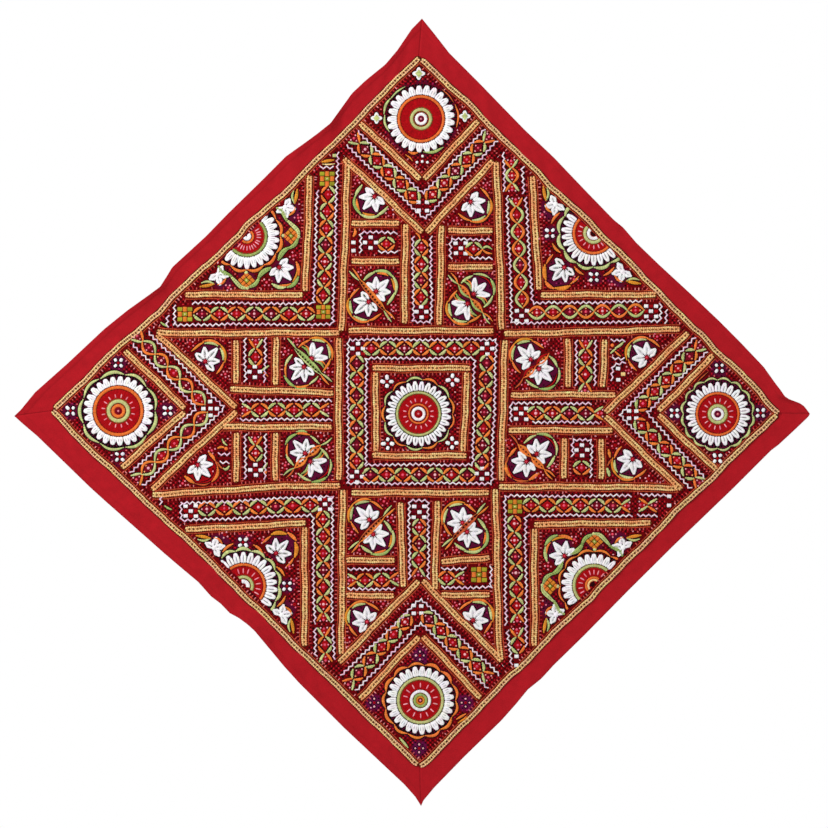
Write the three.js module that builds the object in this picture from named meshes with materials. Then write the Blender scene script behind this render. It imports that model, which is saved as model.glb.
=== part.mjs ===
// Embroidered patchwork wall hanging: a square cloth hung on the diagonal by its top corner.
// Thirteen embroidered panels make the field, and four mitred plain strips make the border.
// Millimetres, +Z up. The front faces -Y and the wall is the plane y = 0.
// Outlines are drawn in the cloth's own axes (x right, z up from its middle); the finished
// group is moved so that its origin is the pinning point in the top corner.
import * as THREE from 'three';

const PIN = { x: 3.7, z: 521 };        // pinning point, just under the top tip
const GAP = 0.3;                       // clearance between neighbouring pieces
const FIELD_THICK = 2.0;               // embroidered cloth with its stitching
const BORDER_THICK = 1.4;              // plain cotton, folded double
const PUFF = 1.1;                      // how far a panel swells between its stitched edges
const CORNER_CELLS = 8;                // mesh cells along a corner square's edge
const MIDDLE_CELLS = 12;               // mesh cells along a side triangle's long edge
const BORDER_ROWS = 3;                 // mesh cells across the border

// Corners of the embroidered field, and the tips of the border outside them.
const CORNERS = {
  left: { field: [-489.5, 3], tip: [-541, -4] },
  top: { field: [-0.5, 474], tip: [3.7, 527] },
  right: { field: [480.5, -0.5], tip: [522, -1] },
  bottom: { field: [1, -472], tip: [2.5, -525] },
};

// Each side runs clockwise from one field corner to the next. `at` is the distance along the
// straight line between them, `out` the distance outside that line and `lift` the distance
// that the hem stands off the wall. joints: where the corner squares end.
const SIDES = [
  {
    name: 'upper_left', from: 'left', to: 'top', joints: [175, 516],
    seam: [
      { at: 0, out: 0 }, { at: 15, out: 1 }, { at: 60, out: -0.3 }, { at: 80, out: 0 },
      { at: 105, out: 1.2 }, { at: 130, out: 0.4 }, { at: 160, out: -1.6 },
      { at: 180, out: -2.4 }, { at: 196, out: -3.8 }, { at: 215, out: -2 },
      { at: 240, out: -1.5 }, { at: 280, out: -1.8 }, { at: 310, out: -3.4 },
      { at: 330, out: -2.8 }, { at: 342, out: -3.9 }, { at: 360, out: -1.4 },
      { at: 385, out: -3 }, { at: 420, out: -4.5 }, { at: 445, out: -4.5 },
      { at: 480, out: -2.8 }, { at: 495, out: -3.8 }, { at: 540, out: -2.8 },
      { at: 575, out: -1.1 }, { at: 620, out: -0.6 }, { at: 655, out: 0.2 },
      { at: 679, out: 0 },
    ],
    hem: [
      { at: -41, out: 31.4, lift: 3 }, { at: -29, out: 31, lift: 3 },
      { at: 0, out: 34.3, lift: 2 }, { at: 58, out: 31.9, lift: 1 },
      { at: 126, out: 31, lift: 1 }, { at: 165, out: 27.5, lift: 3 },
      { at: 199, out: 22.5, lift: 6 }, { at: 218, out: 20, lift: 8 },
      { at: 235, out: 24, lift: 5 }, { at: 248, out: 27.5, lift: 2 },
      { at: 309, out: 26, lift: 2 }, { at: 350, out: 27.4, lift: 1 },
      { at: 415, out: 27.9, lift: 1 }, { at: 460, out: 28.8, lift: 1 },
      { at: 494, out: 23.8, lift: 4 }, { at: 513, out: 21.3, lift: 6 },
      { at: 534, out: 19.4, lift: 8 }, { at: 552, out: 22.7, lift: 5 },
      { at: 582, out: 28.2, lift: 2 }, { at: 607, out: 28, lift: 1 },
      { at: 641, out: 25.1, lift: 3 }, { at: 666, out: 27.7, lift: 2 },
      { at: 699, out: 34.7, lift: 1 }, { at: 719, out: 35.3, lift: 0 },
    ],
  },
  {
    name: 'upper_right', from: 'top', to: 'right', joints: [167, 502],
    seam: [
      { at: 0, out: 0 }, { at: 12, out: 1.9 }, { at: 45, out: 2.2 }, { at: 75, out: 3.2 },
      { at: 95, out: 4.1 }, { at: 130, out: 2 }, { at: 142, out: 3.2 }, { at: 180, out: 2.8 },
      { at: 222, out: 3.2 }, { at: 243, out: 2 }, { at: 262, out: 3.2 }, { at: 278, out: 3 },
      { at: 292, out: 4.3 }, { at: 320, out: 4.2 }, { at: 350, out: 3.3 },
      { at: 375, out: 4.8 }, { at: 400, out: 3.5 }, { at: 421, out: 2 }, { at: 440, out: 3.2 },
      { at: 480, out: 1.8 }, { at: 510, out: 0.7 }, { at: 530, out: 3.2 }, { at: 552, out: 1 },
      { at: 600, out: 2.8 }, { at: 635, out: 2.2 }, { at: 658, out: -0.3 }, { at: 675, out: 0 },
    ],
    hem: [
      { at: -34, out: 40.6, lift: 0 }, { at: -9, out: 37.9, lift: 1 },
      { at: 24, out: 33.5, lift: 2 }, { at: 80, out: 33.1, lift: 1 },
      { at: 167, out: 31.2, lift: 2 }, { at: 222, out: 32.3, lift: 1 },
      { at: 280, out: 30.5, lift: 2 }, { at: 337, out: 29.2, lift: 3 },
      { at: 353, out: 30.8, lift: 1 }, { at: 380, out: 28.6, lift: 4 },
      { at: 422, out: 29, lift: 3 }, { at: 476, out: 30.8, lift: 1 },
      { at: 532, out: 31.9, lift: 1 }, { at: 574, out: 31.5, lift: 2 },
      { at: 618, out: 30, lift: 3 }, { at: 643, out: 25.6, lift: 6 },
      { at: 655, out: 24, lift: 8 }, { at: 665, out: 22, lift: 9 },
      { at: 672, out: 23.3, lift: 8 }, { at: 686, out: 29.6, lift: 7 },
      { at: 693, out: 31, lift: 7 }, { at: 706, out: 29.5, lift: 9 },
    ],
  },
  {
    name: 'lower_right', from: 'right', to: 'bottom', joints: [168, 500],
    seam: [
      { at: 0, out: 0 }, { at: 12, out: -1.2 }, { at: 85, out: -1.2 }, { at: 100, out: -1.5 },
      { at: 130, out: -0.8 }, { at: 160, out: -2.3 }, { at: 195, out: -2.9 },
      { at: 220, out: -2 }, { at: 280, out: -1.4 }, { at: 320, out: -1 }, { at: 337, out: -2 },
      { at: 352, out: 0 }, { at: 375, out: -0.5 }, { at: 420, out: -1.8 },
      { at: 445, out: -1.7 }, { at: 463, out: -0.2 }, { at: 485, out: 0 },
      { at: 502, out: -1.1 }, { at: 545, out: -0.4 }, { at: 580, out: 0.7 },
      { at: 625, out: 1.4 }, { at: 655, out: 2.3 }, { at: 672, out: 0 },
    ],
    hem: [
      { at: -29, out: 29.5, lift: 9 }, { at: -25, out: 30.9, lift: 8 },
      { at: 3, out: 30.4, lift: 4 }, { at: 30, out: 29.6, lift: 2 },
      { at: 42, out: 27.9, lift: 3 }, { at: 113, out: 28.5, lift: 1 },
      { at: 224, out: 27.3, lift: 2 }, { at: 308, out: 27.7, lift: 2 },
      { at: 394, out: 29.1, lift: 1 }, { at: 450, out: 28.9, lift: 1 },
      { at: 475, out: 30.2, lift: 1 }, { at: 498, out: 27.9, lift: 4 },
      { at: 522, out: 30.6, lift: 2 }, { at: 552, out: 32.6, lift: 1 },
      { at: 622, out: 32.3, lift: 1 }, { at: 679, out: 33.6, lift: 2 },
      { at: 701, out: 35.9, lift: 3 }, { at: 708, out: 38.8, lift: 4 },
    ],
  },
  {
    name: 'lower_left', from: 'bottom', to: 'left', joints: [175, 502],
    seam: [
      { at: 0, out: 0 }, { at: 12, out: 1 }, { at: 80, out: 0.8 }, { at: 120, out: 0 },
      { at: 140, out: -0.4 }, { at: 165, out: 0.3 }, { at: 215, out: 0.3 },
      { at: 250, out: -0.4 }, { at: 285, out: -0.6 }, { at: 320, out: 0.4 },
      { at: 355, out: -0.8 }, { at: 440, out: -1 }, { at: 480, out: 0 }, { at: 525, out: 1.7 },
      { at: 550, out: 1.2 }, { at: 575, out: 1.2 }, { at: 620, out: 3.1 },
      { at: 650, out: 2.3 }, { at: 683, out: 0 },
    ],
    hem: [
      { at: -38, out: 37, lift: 4 }, { at: -24, out: 33.6, lift: 3 },
      { at: -2, out: 31.9, lift: 2 }, { at: 39, out: 32.6, lift: 1 },
      { at: 108, out: 33.6, lift: 1 }, { at: 193, out: 32.3, lift: 1 },
      { at: 223, out: 30.4, lift: 2 }, { at: 254, out: 27, lift: 4 },
      { at: 285, out: 23.7, lift: 7 }, { at: 298, out: 24.2, lift: 6 },
      { at: 312, out: 26.1, lift: 4 }, { at: 325, out: 29.8, lift: 2 },
      { at: 343, out: 29.1, lift: 2 }, { at: 358, out: 31.1, lift: 1 },
      { at: 384, out: 29.2, lift: 2 }, { at: 416, out: 31.5, lift: 1 },
      { at: 443, out: 33.2, lift: 1 }, { at: 496, out: 35.5, lift: 1 },
      { at: 549, out: 37.9, lift: 1 }, { at: 576, out: 38.8, lift: 1 },
      { at: 674, out: 38.7, lift: 2 }, { at: 700, out: 40.4, lift: 3 },
      { at: 715, out: 40.9, lift: 3 },
    ],
  },
];

// Corners of the middle square, the ends of the four arms' long edges and the points of the
// corner squares that notch them.
const MIDDLE = { tl: [-104, 108], bl: [-104, -104], br: [109, -104], tr: [112, 108] };
const ARMS = [
  { name: 'top', start: 'tl', end: 'tr', nearEnd: [-98, 341], point: [7, 240], farEnd: [104, 341] },
  { name: 'left', start: 'bl', end: 'tl', nearEnd: [-345, -107], point: [-242, 5], farEnd: [-345, 107] },
  { name: 'bottom', start: 'br', end: 'bl', nearEnd: [111, -337], point: [2, -222], farEnd: [-105, -330] },
  { name: 'right', start: 'tr', end: 'br', nearEnd: [347, 112], point: [246, -2], farEnd: [343, -101] },
];

// Slow waves of the whole cloth off the wall: direction across the wave, length and height.
const WAVES = [
  { dir: [0.94, 0.34], length: 420, height: 1.6, phase: 0.4 },
  { dir: [-0.26, 0.97], length: 560, height: 1.2, phase: 2.1 },
  { dir: [0.71, -0.71], length: 230, height: 0.7, phase: 4.0 },
];

const mix = (a, b, t) => a + (b - a) * t;
const mixPoint = (p, q, t) => [mix(p[0], q[0], t), mix(p[1], q[1], t)];

function tableValue(rows, at, column) {
  if (at <= rows[0].at) return rows[0][column];
  for (let i = 1; i < rows.length; i++) {
    const [a, b] = [rows[i - 1], rows[i]];
    if (at <= b.at) return mix(a[column], b[column], (at - a.at) / (b.at - a.at));
  }
  return rows[rows.length - 1][column];
}

function waveLift(x, z) {
  return WAVES.reduce((sum, w) => {
    const turn = 2 * Math.PI * (x * w.dir[0] + z * w.dir[1]) / w.length + w.phase;
    return sum + w.height * (0.5 + 0.5 * Math.sin(turn));
  }, 0);
}

// A side's straight line, its seam stations and its hem.
function layOut(side) {
  const [a, b] = [CORNERS[side.from].field, CORNERS[side.to].field];
  const length = Math.hypot(b[0] - a[0], b[1] - a[1]);
  const along = [(b[0] - a[0]) / length, (b[1] - a[1]) / length];
  const place = (at, out) => [
    a[0] + along[0] * at - along[1] * out,
    a[1] + along[1] * at + along[0] * out,
  ];
  const stations = [];
  const stretch = (from, to, cells) => {
    for (let i = 0; i < cells; i++) stations.push(mix(from, to, i / cells));
  };
  stretch(0, side.joints[0], CORNER_CELLS);
  stretch(side.joints[0], side.joints[1], MIDDLE_CELLS);
  stretch(side.joints[1], length, CORNER_CELLS);
  stations.push(length);
  const seam = stations.map((at) => place(at, tableValue(side.seam, at, 'out')));
  seam[0] = a;
  seam[seam.length - 1] = b;
  const hemAt = [side.hem[0].at, side.hem[side.hem.length - 1].at];
  const hem = (s) => {
    const at = mix(hemAt[0], hemAt[1], s);
    return { point: place(at, tableValue(side.hem, at, 'out')), lift: tableValue(side.hem, at, 'lift') };
  };
  return { ...side, seam, hem };
}

// A path through points, each reached at its own knot from 0 to 1.
const path = (points, knots) => (t) => {
  let i = 1;
  while (i < knots.length - 1 && t > knots[i] + 1e-9) i++;
  return mixPoint(points[i - 1], points[i], (t - knots[i - 1]) / (knots[i] - knots[i - 1]));
};
const evenPath = (points) => path(points, points.map((_, i) => i / (points.length - 1)));

// A grid of points over the patch inside four edge paths (bottom and top run left to right,
// left and right run bottom to top).
function patch({ bottom, right, top, left }, cols, rows) {
  const grid = [];
  for (let j = 0; j <= rows; j++) {
    const v = j / rows;
    const line = [];
    for (let i = 0; i <= cols; i++) {
      const u = i / cols;
      line.push([0, 1].map((k) =>
        mix(bottom(u)[k], top(u)[k], v) + mix(left(v)[k], right(v)[k], u)
        - mix(mix(bottom(0)[k], bottom(1)[k], u), mix(top(0)[k], top(1)[k], u), v)));
    }
    grid.push(line);
  }
  return grid;
}

// The patch's outline, counter-clockwise seen from the front, as [row, column] pairs with the
// inset of the edge that starts at each.
function outline(cols, rows, inset) {
  const loop = [];
  for (let i = 0; i < cols; i++) loop.push([0, i, inset.bottom]);
  for (let j = 0; j < rows; j++) loop.push([j, cols, inset.right]);
  for (let i = cols; i > 0; i--) loop.push([rows, i, inset.top]);
  for (let j = rows; j > 0; j--) loop.push([j, 0, inset.left]);
  return loop;
}

// Moves the outline inwards so that neighbouring pieces stay a gap apart.
function insetOutline(grid, loop) {
  const far = (p, q) => Math.hypot(p[0] - q[0], p[1] - q[1]) > 1e-6;
  const kept = loop.filter(([j, i], k) => {
    const [pj, pi] = loop[(k + loop.length - 1) % loop.length];
    return far(grid[j][i], grid[pj][pi]);
  });
  const at = kept.map(([j, i]) => grid[j][i]);
  const moved = at.map((p, k) => {
    const before = (k + at.length - 1) % at.length;
    const [o, q] = [at[before], at[(k + 1) % at.length]];
    const normal = (s, e) => {
      const l = Math.hypot(e[0] - s[0], e[1] - s[1]);
      return [-(e[1] - s[1]) / l, (e[0] - s[0]) / l];
    };
    const [m, n] = [normal(o, p), normal(p, q)];
    const [d, e] = [kept[before][2], kept[k][2]];
    const det = m[0] * n[1] - m[1] * n[0];
    if (Math.abs(det) < 0.02) return [p[0] + (m[0] * d + n[0] * e) / 2, p[1] + (m[1] * d + n[1] * e) / 2];
    return [p[0] + (d * n[1] - e * m[1]) / det, p[1] + (e * m[0] - d * n[0]) / det];
  });
  loop.forEach(([j, i]) => {
    const k = at.findIndex((p) => !far(p, grid[j][i]));
    grid[j][i] = { moved: moved[k] };
  });
  loop.forEach(([j, i]) => {
    grid[j][i] = grid[j][i].moved;
  });
}

// A closed sheet from a grid: a front skin towards -Y, a back skin and an edge wall.
function sheet(grid, loop, depthAt) {
  const cols = grid[0].length;
  const positions = [];
  const known = new Map();
  const vertex = (j, i, face) => {
    const [x, z] = grid[j][i];
    const key = `${x.toFixed(5)} ${z.toFixed(5)} ${face}`;
    if (!known.has(key)) {
      known.set(key, positions.length / 3);
      const { back, front } = depthAt(x, z, i / (cols - 1), j / (grid.length - 1));
      positions.push(x, -(face ? front : back), z);
    }
    return known.get(key);
  };
  const triangles = [];
  const add = (a, b, c) => {
    if (a !== b && b !== c && c !== a) triangles.push(a, b, c);
  };
  for (let j = 0; j + 1 < grid.length; j++) {
    for (let i = 0; i + 1 < cols; i++) {
      const corner = [[j, i], [j, i + 1], [j + 1, i + 1], [j + 1, i]];
      const f = corner.map(([r, c]) => vertex(r, c, 1));
      const b = corner.map(([r, c]) => vertex(r, c, 0));
      add(f[0], f[1], f[2]);
      add(f[0], f[2], f[3]);
      add(b[0], b[2], b[1]);
      add(b[0], b[3], b[2]);
    }
  }
  loop.forEach(([j, i], k) => {
    const [nj, ni] = loop[(k + 1) % loop.length];
    const [fa, ba, fb, bb] = [vertex(j, i, 1), vertex(j, i, 0), vertex(nj, ni, 1), vertex(nj, ni, 0)];
    if (fa === fb) return;
    triangles.push(fa, ba, bb, fa, bb, fb);
  });
  const geometry = new THREE.BufferGeometry();
  geometry.setAttribute('position', new THREE.Float32BufferAttribute(positions, 3));
  geometry.setIndex(triangles);
  geometry.computeVertexNormals();
  return geometry;
}

function fieldDepth(x, z, u, v) {
  const back = waveLift(x, z);
  return { back, front: back + FIELD_THICK + PUFF * 16 * u * (1 - u) * v * (1 - v) };
}

const embroidered = (colour) => new THREE.MeshStandardMaterial({ color: colour, roughness: 0.85, metalness: 0 });
const plain = () => new THREE.MeshStandardMaterial({ color: 0xb01e26, roughness: 0.8, metalness: 0 });

const hanging = new THREE.Group();

function addPanel(name, edges, cols, rows, colour) {
  const grid = patch(edges, cols, rows);
  const half = GAP / 2;
  const loop = outline(cols, rows, { bottom: half, right: half, top: half, left: half });
  insetOutline(grid, loop);
  const mesh = new THREE.Mesh(sheet(grid, loop, fieldDepth), embroidered(colour));
  mesh.name = name;
  hanging.add(mesh);
}

function addBorder(side) {
  const seam = evenPath(side.seam);
  const cols = 2 * (side.seam.length - 1);
  const grid = patch({
    bottom: seam,
    top: (u) => side.hem(u).point,
    left: evenPath([side.seam[0], side.hem(0).point]),
    right: evenPath([side.seam[side.seam.length - 1], side.hem(1).point]),
  }, cols, BORDER_ROWS);
  const half = GAP / 2;
  const loop = outline(cols, BORDER_ROWS, { bottom: half, right: half, top: 0, left: half });
  insetOutline(grid, loop);
  const depth = (x, z, u, v) => {
    const back = waveLift(x, z) + side.hem(u).lift * v * v;
    return { back, front: back + BORDER_THICK };
  };
  const mesh = new THREE.Mesh(sheet(grid, loop, depth), plain());
  mesh.name = `border_${side.name}`;
  hanging.add(mesh);
}

const sides = SIDES.map(layOut);
const sideFrom = (corner) => sides.find((s) => s.from === corner);
const sideTo = (corner) => sides.find((s) => s.to === corner);
const lastJoint = (side) => side.seam.length - 1 - CORNER_CELLS;

addPanel('centre_square', {
  bottom: evenPath([MIDDLE.bl, MIDDLE.br]),
  right: evenPath([MIDDLE.br, MIDDLE.tr]),
  top: evenPath([MIDDLE.tl, MIDDLE.tr]),
  left: evenPath([MIDDLE.bl, MIDDLE.tl]),
}, 8, 8, 0x7a1218);

for (const arm of ARMS) {
  const [start, end] = [MIDDLE[arm.start], MIDDLE[arm.end]];
  addPanel(`arm_${arm.name}`, {
    bottom: evenPath([start, end]),
    right: evenPath([end, arm.farEnd]),
    top: evenPath([arm.nearEnd, arm.point, arm.farEnd]),
    left: evenPath([start, arm.nearEnd]),
  }, 10, 9, 0x8a1a1c);
}

// A corner square fills the notch of its arm, out to the two border seams.
for (const arm of ARMS) {
  const [before, after] = [sideTo(arm.name), sideFrom(arm.name)];
  const n = CORNER_CELLS;
  const nearJoint = before.seam[lastJoint(before)];
  const farJoint = after.seam[n];
  const knots = [0, (n - 1) / n, 1];
  addPanel(`corner_square_${arm.name}`, {
    bottom: path([arm.point, arm.farEnd, farJoint], knots),
    right: evenPath(after.seam.slice(0, n + 1).reverse()),
    top: evenPath(before.seam.slice(lastJoint(before))),
    left: path([arm.point, arm.nearEnd, nearJoint], knots),
  }, n, n, 0x701016);
}

// A side triangle lies between two arms, with its long edge on the border seam.
const TRIANGLES = [
  { side: 'upper_left', corner: 'tl', start: 'left', end: 'top' },
  { side: 'upper_right', corner: 'tr', start: 'top', end: 'right' },
  { side: 'lower_right', corner: 'br', start: 'right', end: 'bottom' },
  { side: 'lower_left', corner: 'bl', start: 'bottom', end: 'left' },
];
for (const t of TRIANGLES) {
  const side = sides.find((s) => s.name === t.side);
  const arm = (name) => ARMS.find((a) => a.name === name);
  const corner = MIDDLE[t.corner];
  const long = side.seam.slice(CORNER_CELLS, lastJoint(side) + 1).reverse();
  const rows = 7;
  const knots = [0, 1 / rows, 1];
  addPanel(`side_triangle_${t.side}`, {
    bottom: evenPath(long),
    right: path([long[long.length - 1], arm(t.start).farEnd, corner], knots),
    top: evenPath([corner, corner]),
    left: path([long[0], arm(t.end).nearEnd, corner], knots),
  }, MIDDLE_CELLS, rows, 0x821519);
}

sides.forEach(addBorder);

hanging.position.set(-PIN.x, 0, -PIN.z);

export default hanging;
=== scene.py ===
import bmesh
import bpy
import numpy as np
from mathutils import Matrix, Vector


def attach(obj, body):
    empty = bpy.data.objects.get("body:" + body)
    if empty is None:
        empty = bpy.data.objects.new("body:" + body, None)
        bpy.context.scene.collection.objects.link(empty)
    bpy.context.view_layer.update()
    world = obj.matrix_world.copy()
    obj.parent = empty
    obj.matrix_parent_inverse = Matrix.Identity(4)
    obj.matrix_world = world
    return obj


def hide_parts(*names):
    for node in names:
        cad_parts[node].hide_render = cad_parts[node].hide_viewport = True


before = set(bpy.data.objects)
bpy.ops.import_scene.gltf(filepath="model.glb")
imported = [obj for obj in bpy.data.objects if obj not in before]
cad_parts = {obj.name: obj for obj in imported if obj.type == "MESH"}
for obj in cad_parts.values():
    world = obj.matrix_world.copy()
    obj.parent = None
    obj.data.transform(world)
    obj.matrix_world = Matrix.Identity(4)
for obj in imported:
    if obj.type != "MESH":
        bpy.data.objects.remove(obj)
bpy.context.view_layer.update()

rng = np.random.default_rng(1764)
MM = 0.001
PIN = (3.7, 521.0)      # pinning point under the top tip, the frame's origin
CLOTH = 1.2             # thickness of the embroidered cloth, mm
OFF_WALL = 0.5          # room behind the cloth for the thread ends
PUFF = 1.2              # how far a panel swells between its stitched edges
PATCH_STEPS = 420       # points each way when a panel is laid on the maps
PUCKERS = 14            # small waves in the cloth from the dense stitching
REACH = 560             # half size of the maps below


def table(columns, *lines):
    """Columns of numbers by name."""
    return dict(zip(columns.split(), np.array(lines, float).T))


def rows(columns, *lines):
    """The lines of a table, each with its values by name. The last columns may be left out."""
    return [dict(zip(columns.split(), line)) for line in lines]


# -------------------- cloth layout, in mm
FIELD = {"left": (-489.5, 3), "top": (-0.5, 474), "right": (480.5, -0.5), "bottom": (1, -472)}
TIPS = {"left": (-541, -4), "top": (3.7, 527), "right": (522, -1), "bottom": (2.5, -525)}

# Each side runs clockwise between two corners of the field: distance along the straight line,
# distance outside it, and how far the hem stands off the wall.
SIDES = {
    "upper_left": dict(
        start="left", end="top", joints=(175, 516),
        seam=table(
            "at out", (0, 0), (15, 1), (60, -0.3), (80, 0), (105, 1.2), (130, 0.4), (160, -1.6),
            (180, -2.4), (196, -3.8), (215, -2), (240, -1.5), (280, -1.8), (310, -3.4), (330, -2.8),
            (342, -3.9), (360, -1.4), (385, -3), (420, -4.5), (445, -4.5), (480, -2.8), (495, -3.8),
            (540, -2.8), (575, -1.1), (620, -0.6), (655, 0.2), (679, 0)),
        hem=table(
            "at out lift", (-41, 31.4, 3), (-29, 31, 3), (0, 34.3, 2), (58, 31.9, 1), (126, 31, 1),
            (165, 27.5, 3), (199, 22.5, 6), (218, 20, 8), (235, 24, 5), (248, 27.5, 2), (309, 26, 2),
            (350, 27.4, 1), (415, 27.9, 1), (460, 28.8, 1), (494, 23.8, 4), (513, 21.3, 6), (534, 19.4, 8),
            (552, 22.7, 5), (582, 28.2, 2), (607, 28, 1), (641, 25.1, 3), (666, 27.7, 2), (699, 34.7, 1),
            (719, 35.3, 0))),
    "upper_right": dict(
        start="top", end="right", joints=(167, 502),
        seam=table(
            "at out", (0, 0), (12, 1.9), (45, 2.2), (75, 3.2), (95, 4.1), (130, 2), (142, 3.2), (180, 2.8),
            (222, 3.2), (243, 2), (262, 3.2), (278, 3), (292, 4.3), (320, 4.2), (350, 3.3), (375, 4.8),
            (400, 3.5), (421, 2), (440, 3.2), (480, 1.8), (510, 0.7), (530, 3.2), (552, 1), (600, 2.8),
            (635, 2.2), (658, -0.3), (675, 0)),
        hem=table(
            "at out lift", (-34, 40.6, 0), (-9, 37.9, 1), (24, 33.5, 2), (80, 33.1, 1), (167, 31.2, 2),
            (222, 32.3, 1), (280, 30.5, 2), (337, 29.2, 3), (353, 30.8, 1), (380, 28.6, 4), (422, 29, 3),
            (476, 30.8, 1), (532, 31.9, 1), (574, 31.5, 2), (618, 30, 3), (643, 25.6, 6), (655, 24, 8),
            (665, 22, 9), (672, 23.3, 8), (686, 29.6, 7), (693, 31, 7), (706, 29.5, 9))),
    "lower_right": dict(
        start="right", end="bottom", joints=(168, 500),
        seam=table(
            "at out", (0, 0), (12, -1.2), (85, -1.2), (100, -1.5), (130, -0.8), (160, -2.3), (195, -2.9),
            (220, -2), (280, -1.4), (320, -1), (337, -2), (352, 0), (375, -0.5), (420, -1.8), (445, -1.7),
            (463, -0.2), (485, 0), (502, -1.1), (545, -0.4), (580, 0.7), (625, 1.4), (655, 2.3), (672, 0)),
        hem=table(
            "at out lift", (-29, 29.5, 9), (-25, 30.9, 8), (3, 30.4, 4), (30, 29.6, 2), (42, 27.9, 3),
            (113, 28.5, 1), (224, 27.3, 2), (308, 27.7, 2), (394, 29.1, 1), (450, 28.9, 1), (475, 30.2, 1),
            (498, 27.9, 4), (522, 30.6, 2), (552, 32.6, 1), (622, 32.3, 1), (679, 33.6, 2), (701, 35.9, 3),
            (708, 38.8, 4))),
    "lower_left": dict(
        start="bottom", end="left", joints=(175, 502),
        seam=table(
            "at out", (0, 0), (12, 1), (80, 0.8), (120, 0), (140, -0.4), (165, 0.3), (215, 0.3),
            (250, -0.4), (285, -0.6), (320, 0.4), (355, -0.8), (440, -1), (480, 0), (525, 1.7), (550, 1.2),
            (575, 1.2), (620, 3.1), (650, 2.3), (683, 0)),
        hem=table(
            "at out lift", (-38, 37, 4), (-24, 33.6, 3), (-2, 31.9, 2), (39, 32.6, 1), (108, 33.6, 1),
            (193, 32.3, 1), (223, 30.4, 2), (254, 27, 4), (285, 23.7, 7), (298, 24.2, 6), (312, 26.1, 4),
            (325, 29.8, 2), (343, 29.1, 2), (358, 31.1, 1), (384, 29.2, 2), (416, 31.5, 1), (443, 33.2, 1),
            (496, 35.5, 1), (549, 37.9, 1), (576, 38.8, 1), (674, 38.7, 2), (700, 40.4, 3),
            (715, 40.9, 3))),
}
MIDDLE = dict(tl=(-104, 108), bl=(-104, -104), br=(109, -104), tr=(112, 108))
ARMS = rows("name start end near point far",
            ("top", "tl", "tr", (-98, 341), (7, 240), (104, 341)),
            ("left", "bl", "tl", (-345, -107), (-242, 5), (-345, 107)),
            ("bottom", "br", "bl", (111, -337), (2, -222), (-105, -330)),
            ("right", "tr", "br", (347, 112), (246, -2), (343, -101)))
# Slow waves of the whole cloth off the wall.
WAVES = rows("dx dz length height phase",
             (0.94, 0.34, 420, 1.6, 0.4), (-0.26, 0.97, 560, 1.2, 2.1), (0.71, -0.71, 230, 0.7, 4.0))


def wave(x, z):
    """How far the slow waves lift the cloth at each point."""
    return sum(w["height"] * (0.5 + 0.5 * np.sin(2 * np.pi * (x * w["dx"] + z * w["dz"]) / w["length"]
                                                 + w["phase"])) for w in WAVES)


def left_of(direction):
    """The directions turned left by a right angle."""
    return np.stack([-direction[..., 1], direction[..., 0]], -1)


def path(points, knots=None):
    """A polyline as a function of the distance from 0 to 1 along it."""
    points = np.array(points, float)
    knots = np.linspace(0, 1, len(points)) if knots is None else np.array(knots, float)
    return lambda t: np.stack([np.interp(t, knots, points[:, k]) for k in (0, 1)], -1)


def coons(bottom, right, top, left, u, v):
    """Points of the patch inside four edges; bottom and top run left to right, the others up."""
    b, t, l, r = bottom(u), top(u), left(v), right(v)
    u, v = u[None, :, None], v[:, None, None]
    return ((1 - v) * b[None] + v * t[None] + (1 - u) * l[:, None] + u * r[:, None]
            - (1 - u) * (1 - v) * b[0] - u * (1 - v) * b[-1] - (1 - u) * v * t[0] - u * v * t[-1])


def place(side, at, out):
    """Points at distances along a side's straight line and outside it."""
    a, b = np.array(FIELD[side["start"]], float), np.array(FIELD[side["end"]], float)
    along = (b - a) / np.hypot(*(b - a))
    return a + np.multiply.outer(at, along) + np.multiply.outer(out, left_of(along))


def seam(side, start, end):
    """The seam between two distances along a side, as a path."""
    line = side["seam"]
    return lambda t: place(side, start + (end - start) * t,
                           np.interp(start + (end - start) * t, line["at"], line["out"]))


def side_length(side):
    return side["seam"]["at"][-1]


PANELS = {}


def panel(name, across, up, *edges):
    """A panel's number of faces each way, and its bottom, right, top and left edges."""
    PANELS[name] = dict(across=across, up=up, edges=[e if callable(e) else path(e) for e in edges])


def starting(corner):
    """The side that starts at a corner."""
    return next(s for s in SIDES.values() if s["start"] == corner)


def ending(corner):
    """The side that ends at a corner."""
    return next(s for s in SIDES.values() if s["end"] == corner)


panel("centre_square", 52, 52, [MIDDLE["bl"], MIDDLE["br"]], [MIDDLE["br"], MIDDLE["tr"]],
      [MIDDLE["tl"], MIDDLE["tr"]], [MIDDLE["bl"], MIDDLE["tl"]])
for arm in ARMS:
    start, end = MIDDLE[arm["start"]], MIDDLE[arm["end"]]
    panel("arm_" + arm["name"], 52, 44, [start, end], [end, arm["far"]],
          [arm["near"], arm["point"], arm["far"]], [start, arm["near"]])
for arm in ARMS:
    before, after = ending(arm["name"]), starting(arm["name"])
    knots = (0, 7 / 8, 1)
    out = seam(after, after["joints"][0], 0)
    into = seam(before, before["joints"][1], side_length(before))
    panel("corner_square_" + arm["name"], 40, 40, path([arm["point"], arm["far"], out(0)], knots), out,
          into, path([arm["point"], arm["near"], into(0)], knots))
arm_of = {arm["name"]: arm for arm in ARMS}
for (name, side), corner in zip(SIDES.items(), ("tl", "tr", "br", "bl")):
    long, tip = seam(side, side["joints"][1], side["joints"][0]), MIDDLE[corner]
    knots = (0, 1 / 7, 1)
    panel("side_triangle_" + name, 66, 34, long,
          path([long(1.0), arm_of[side["start"]]["far"], tip], knots), [tip, tip],
          path([long(0.0), arm_of[side["end"]]["near"], tip], knots))


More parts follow.
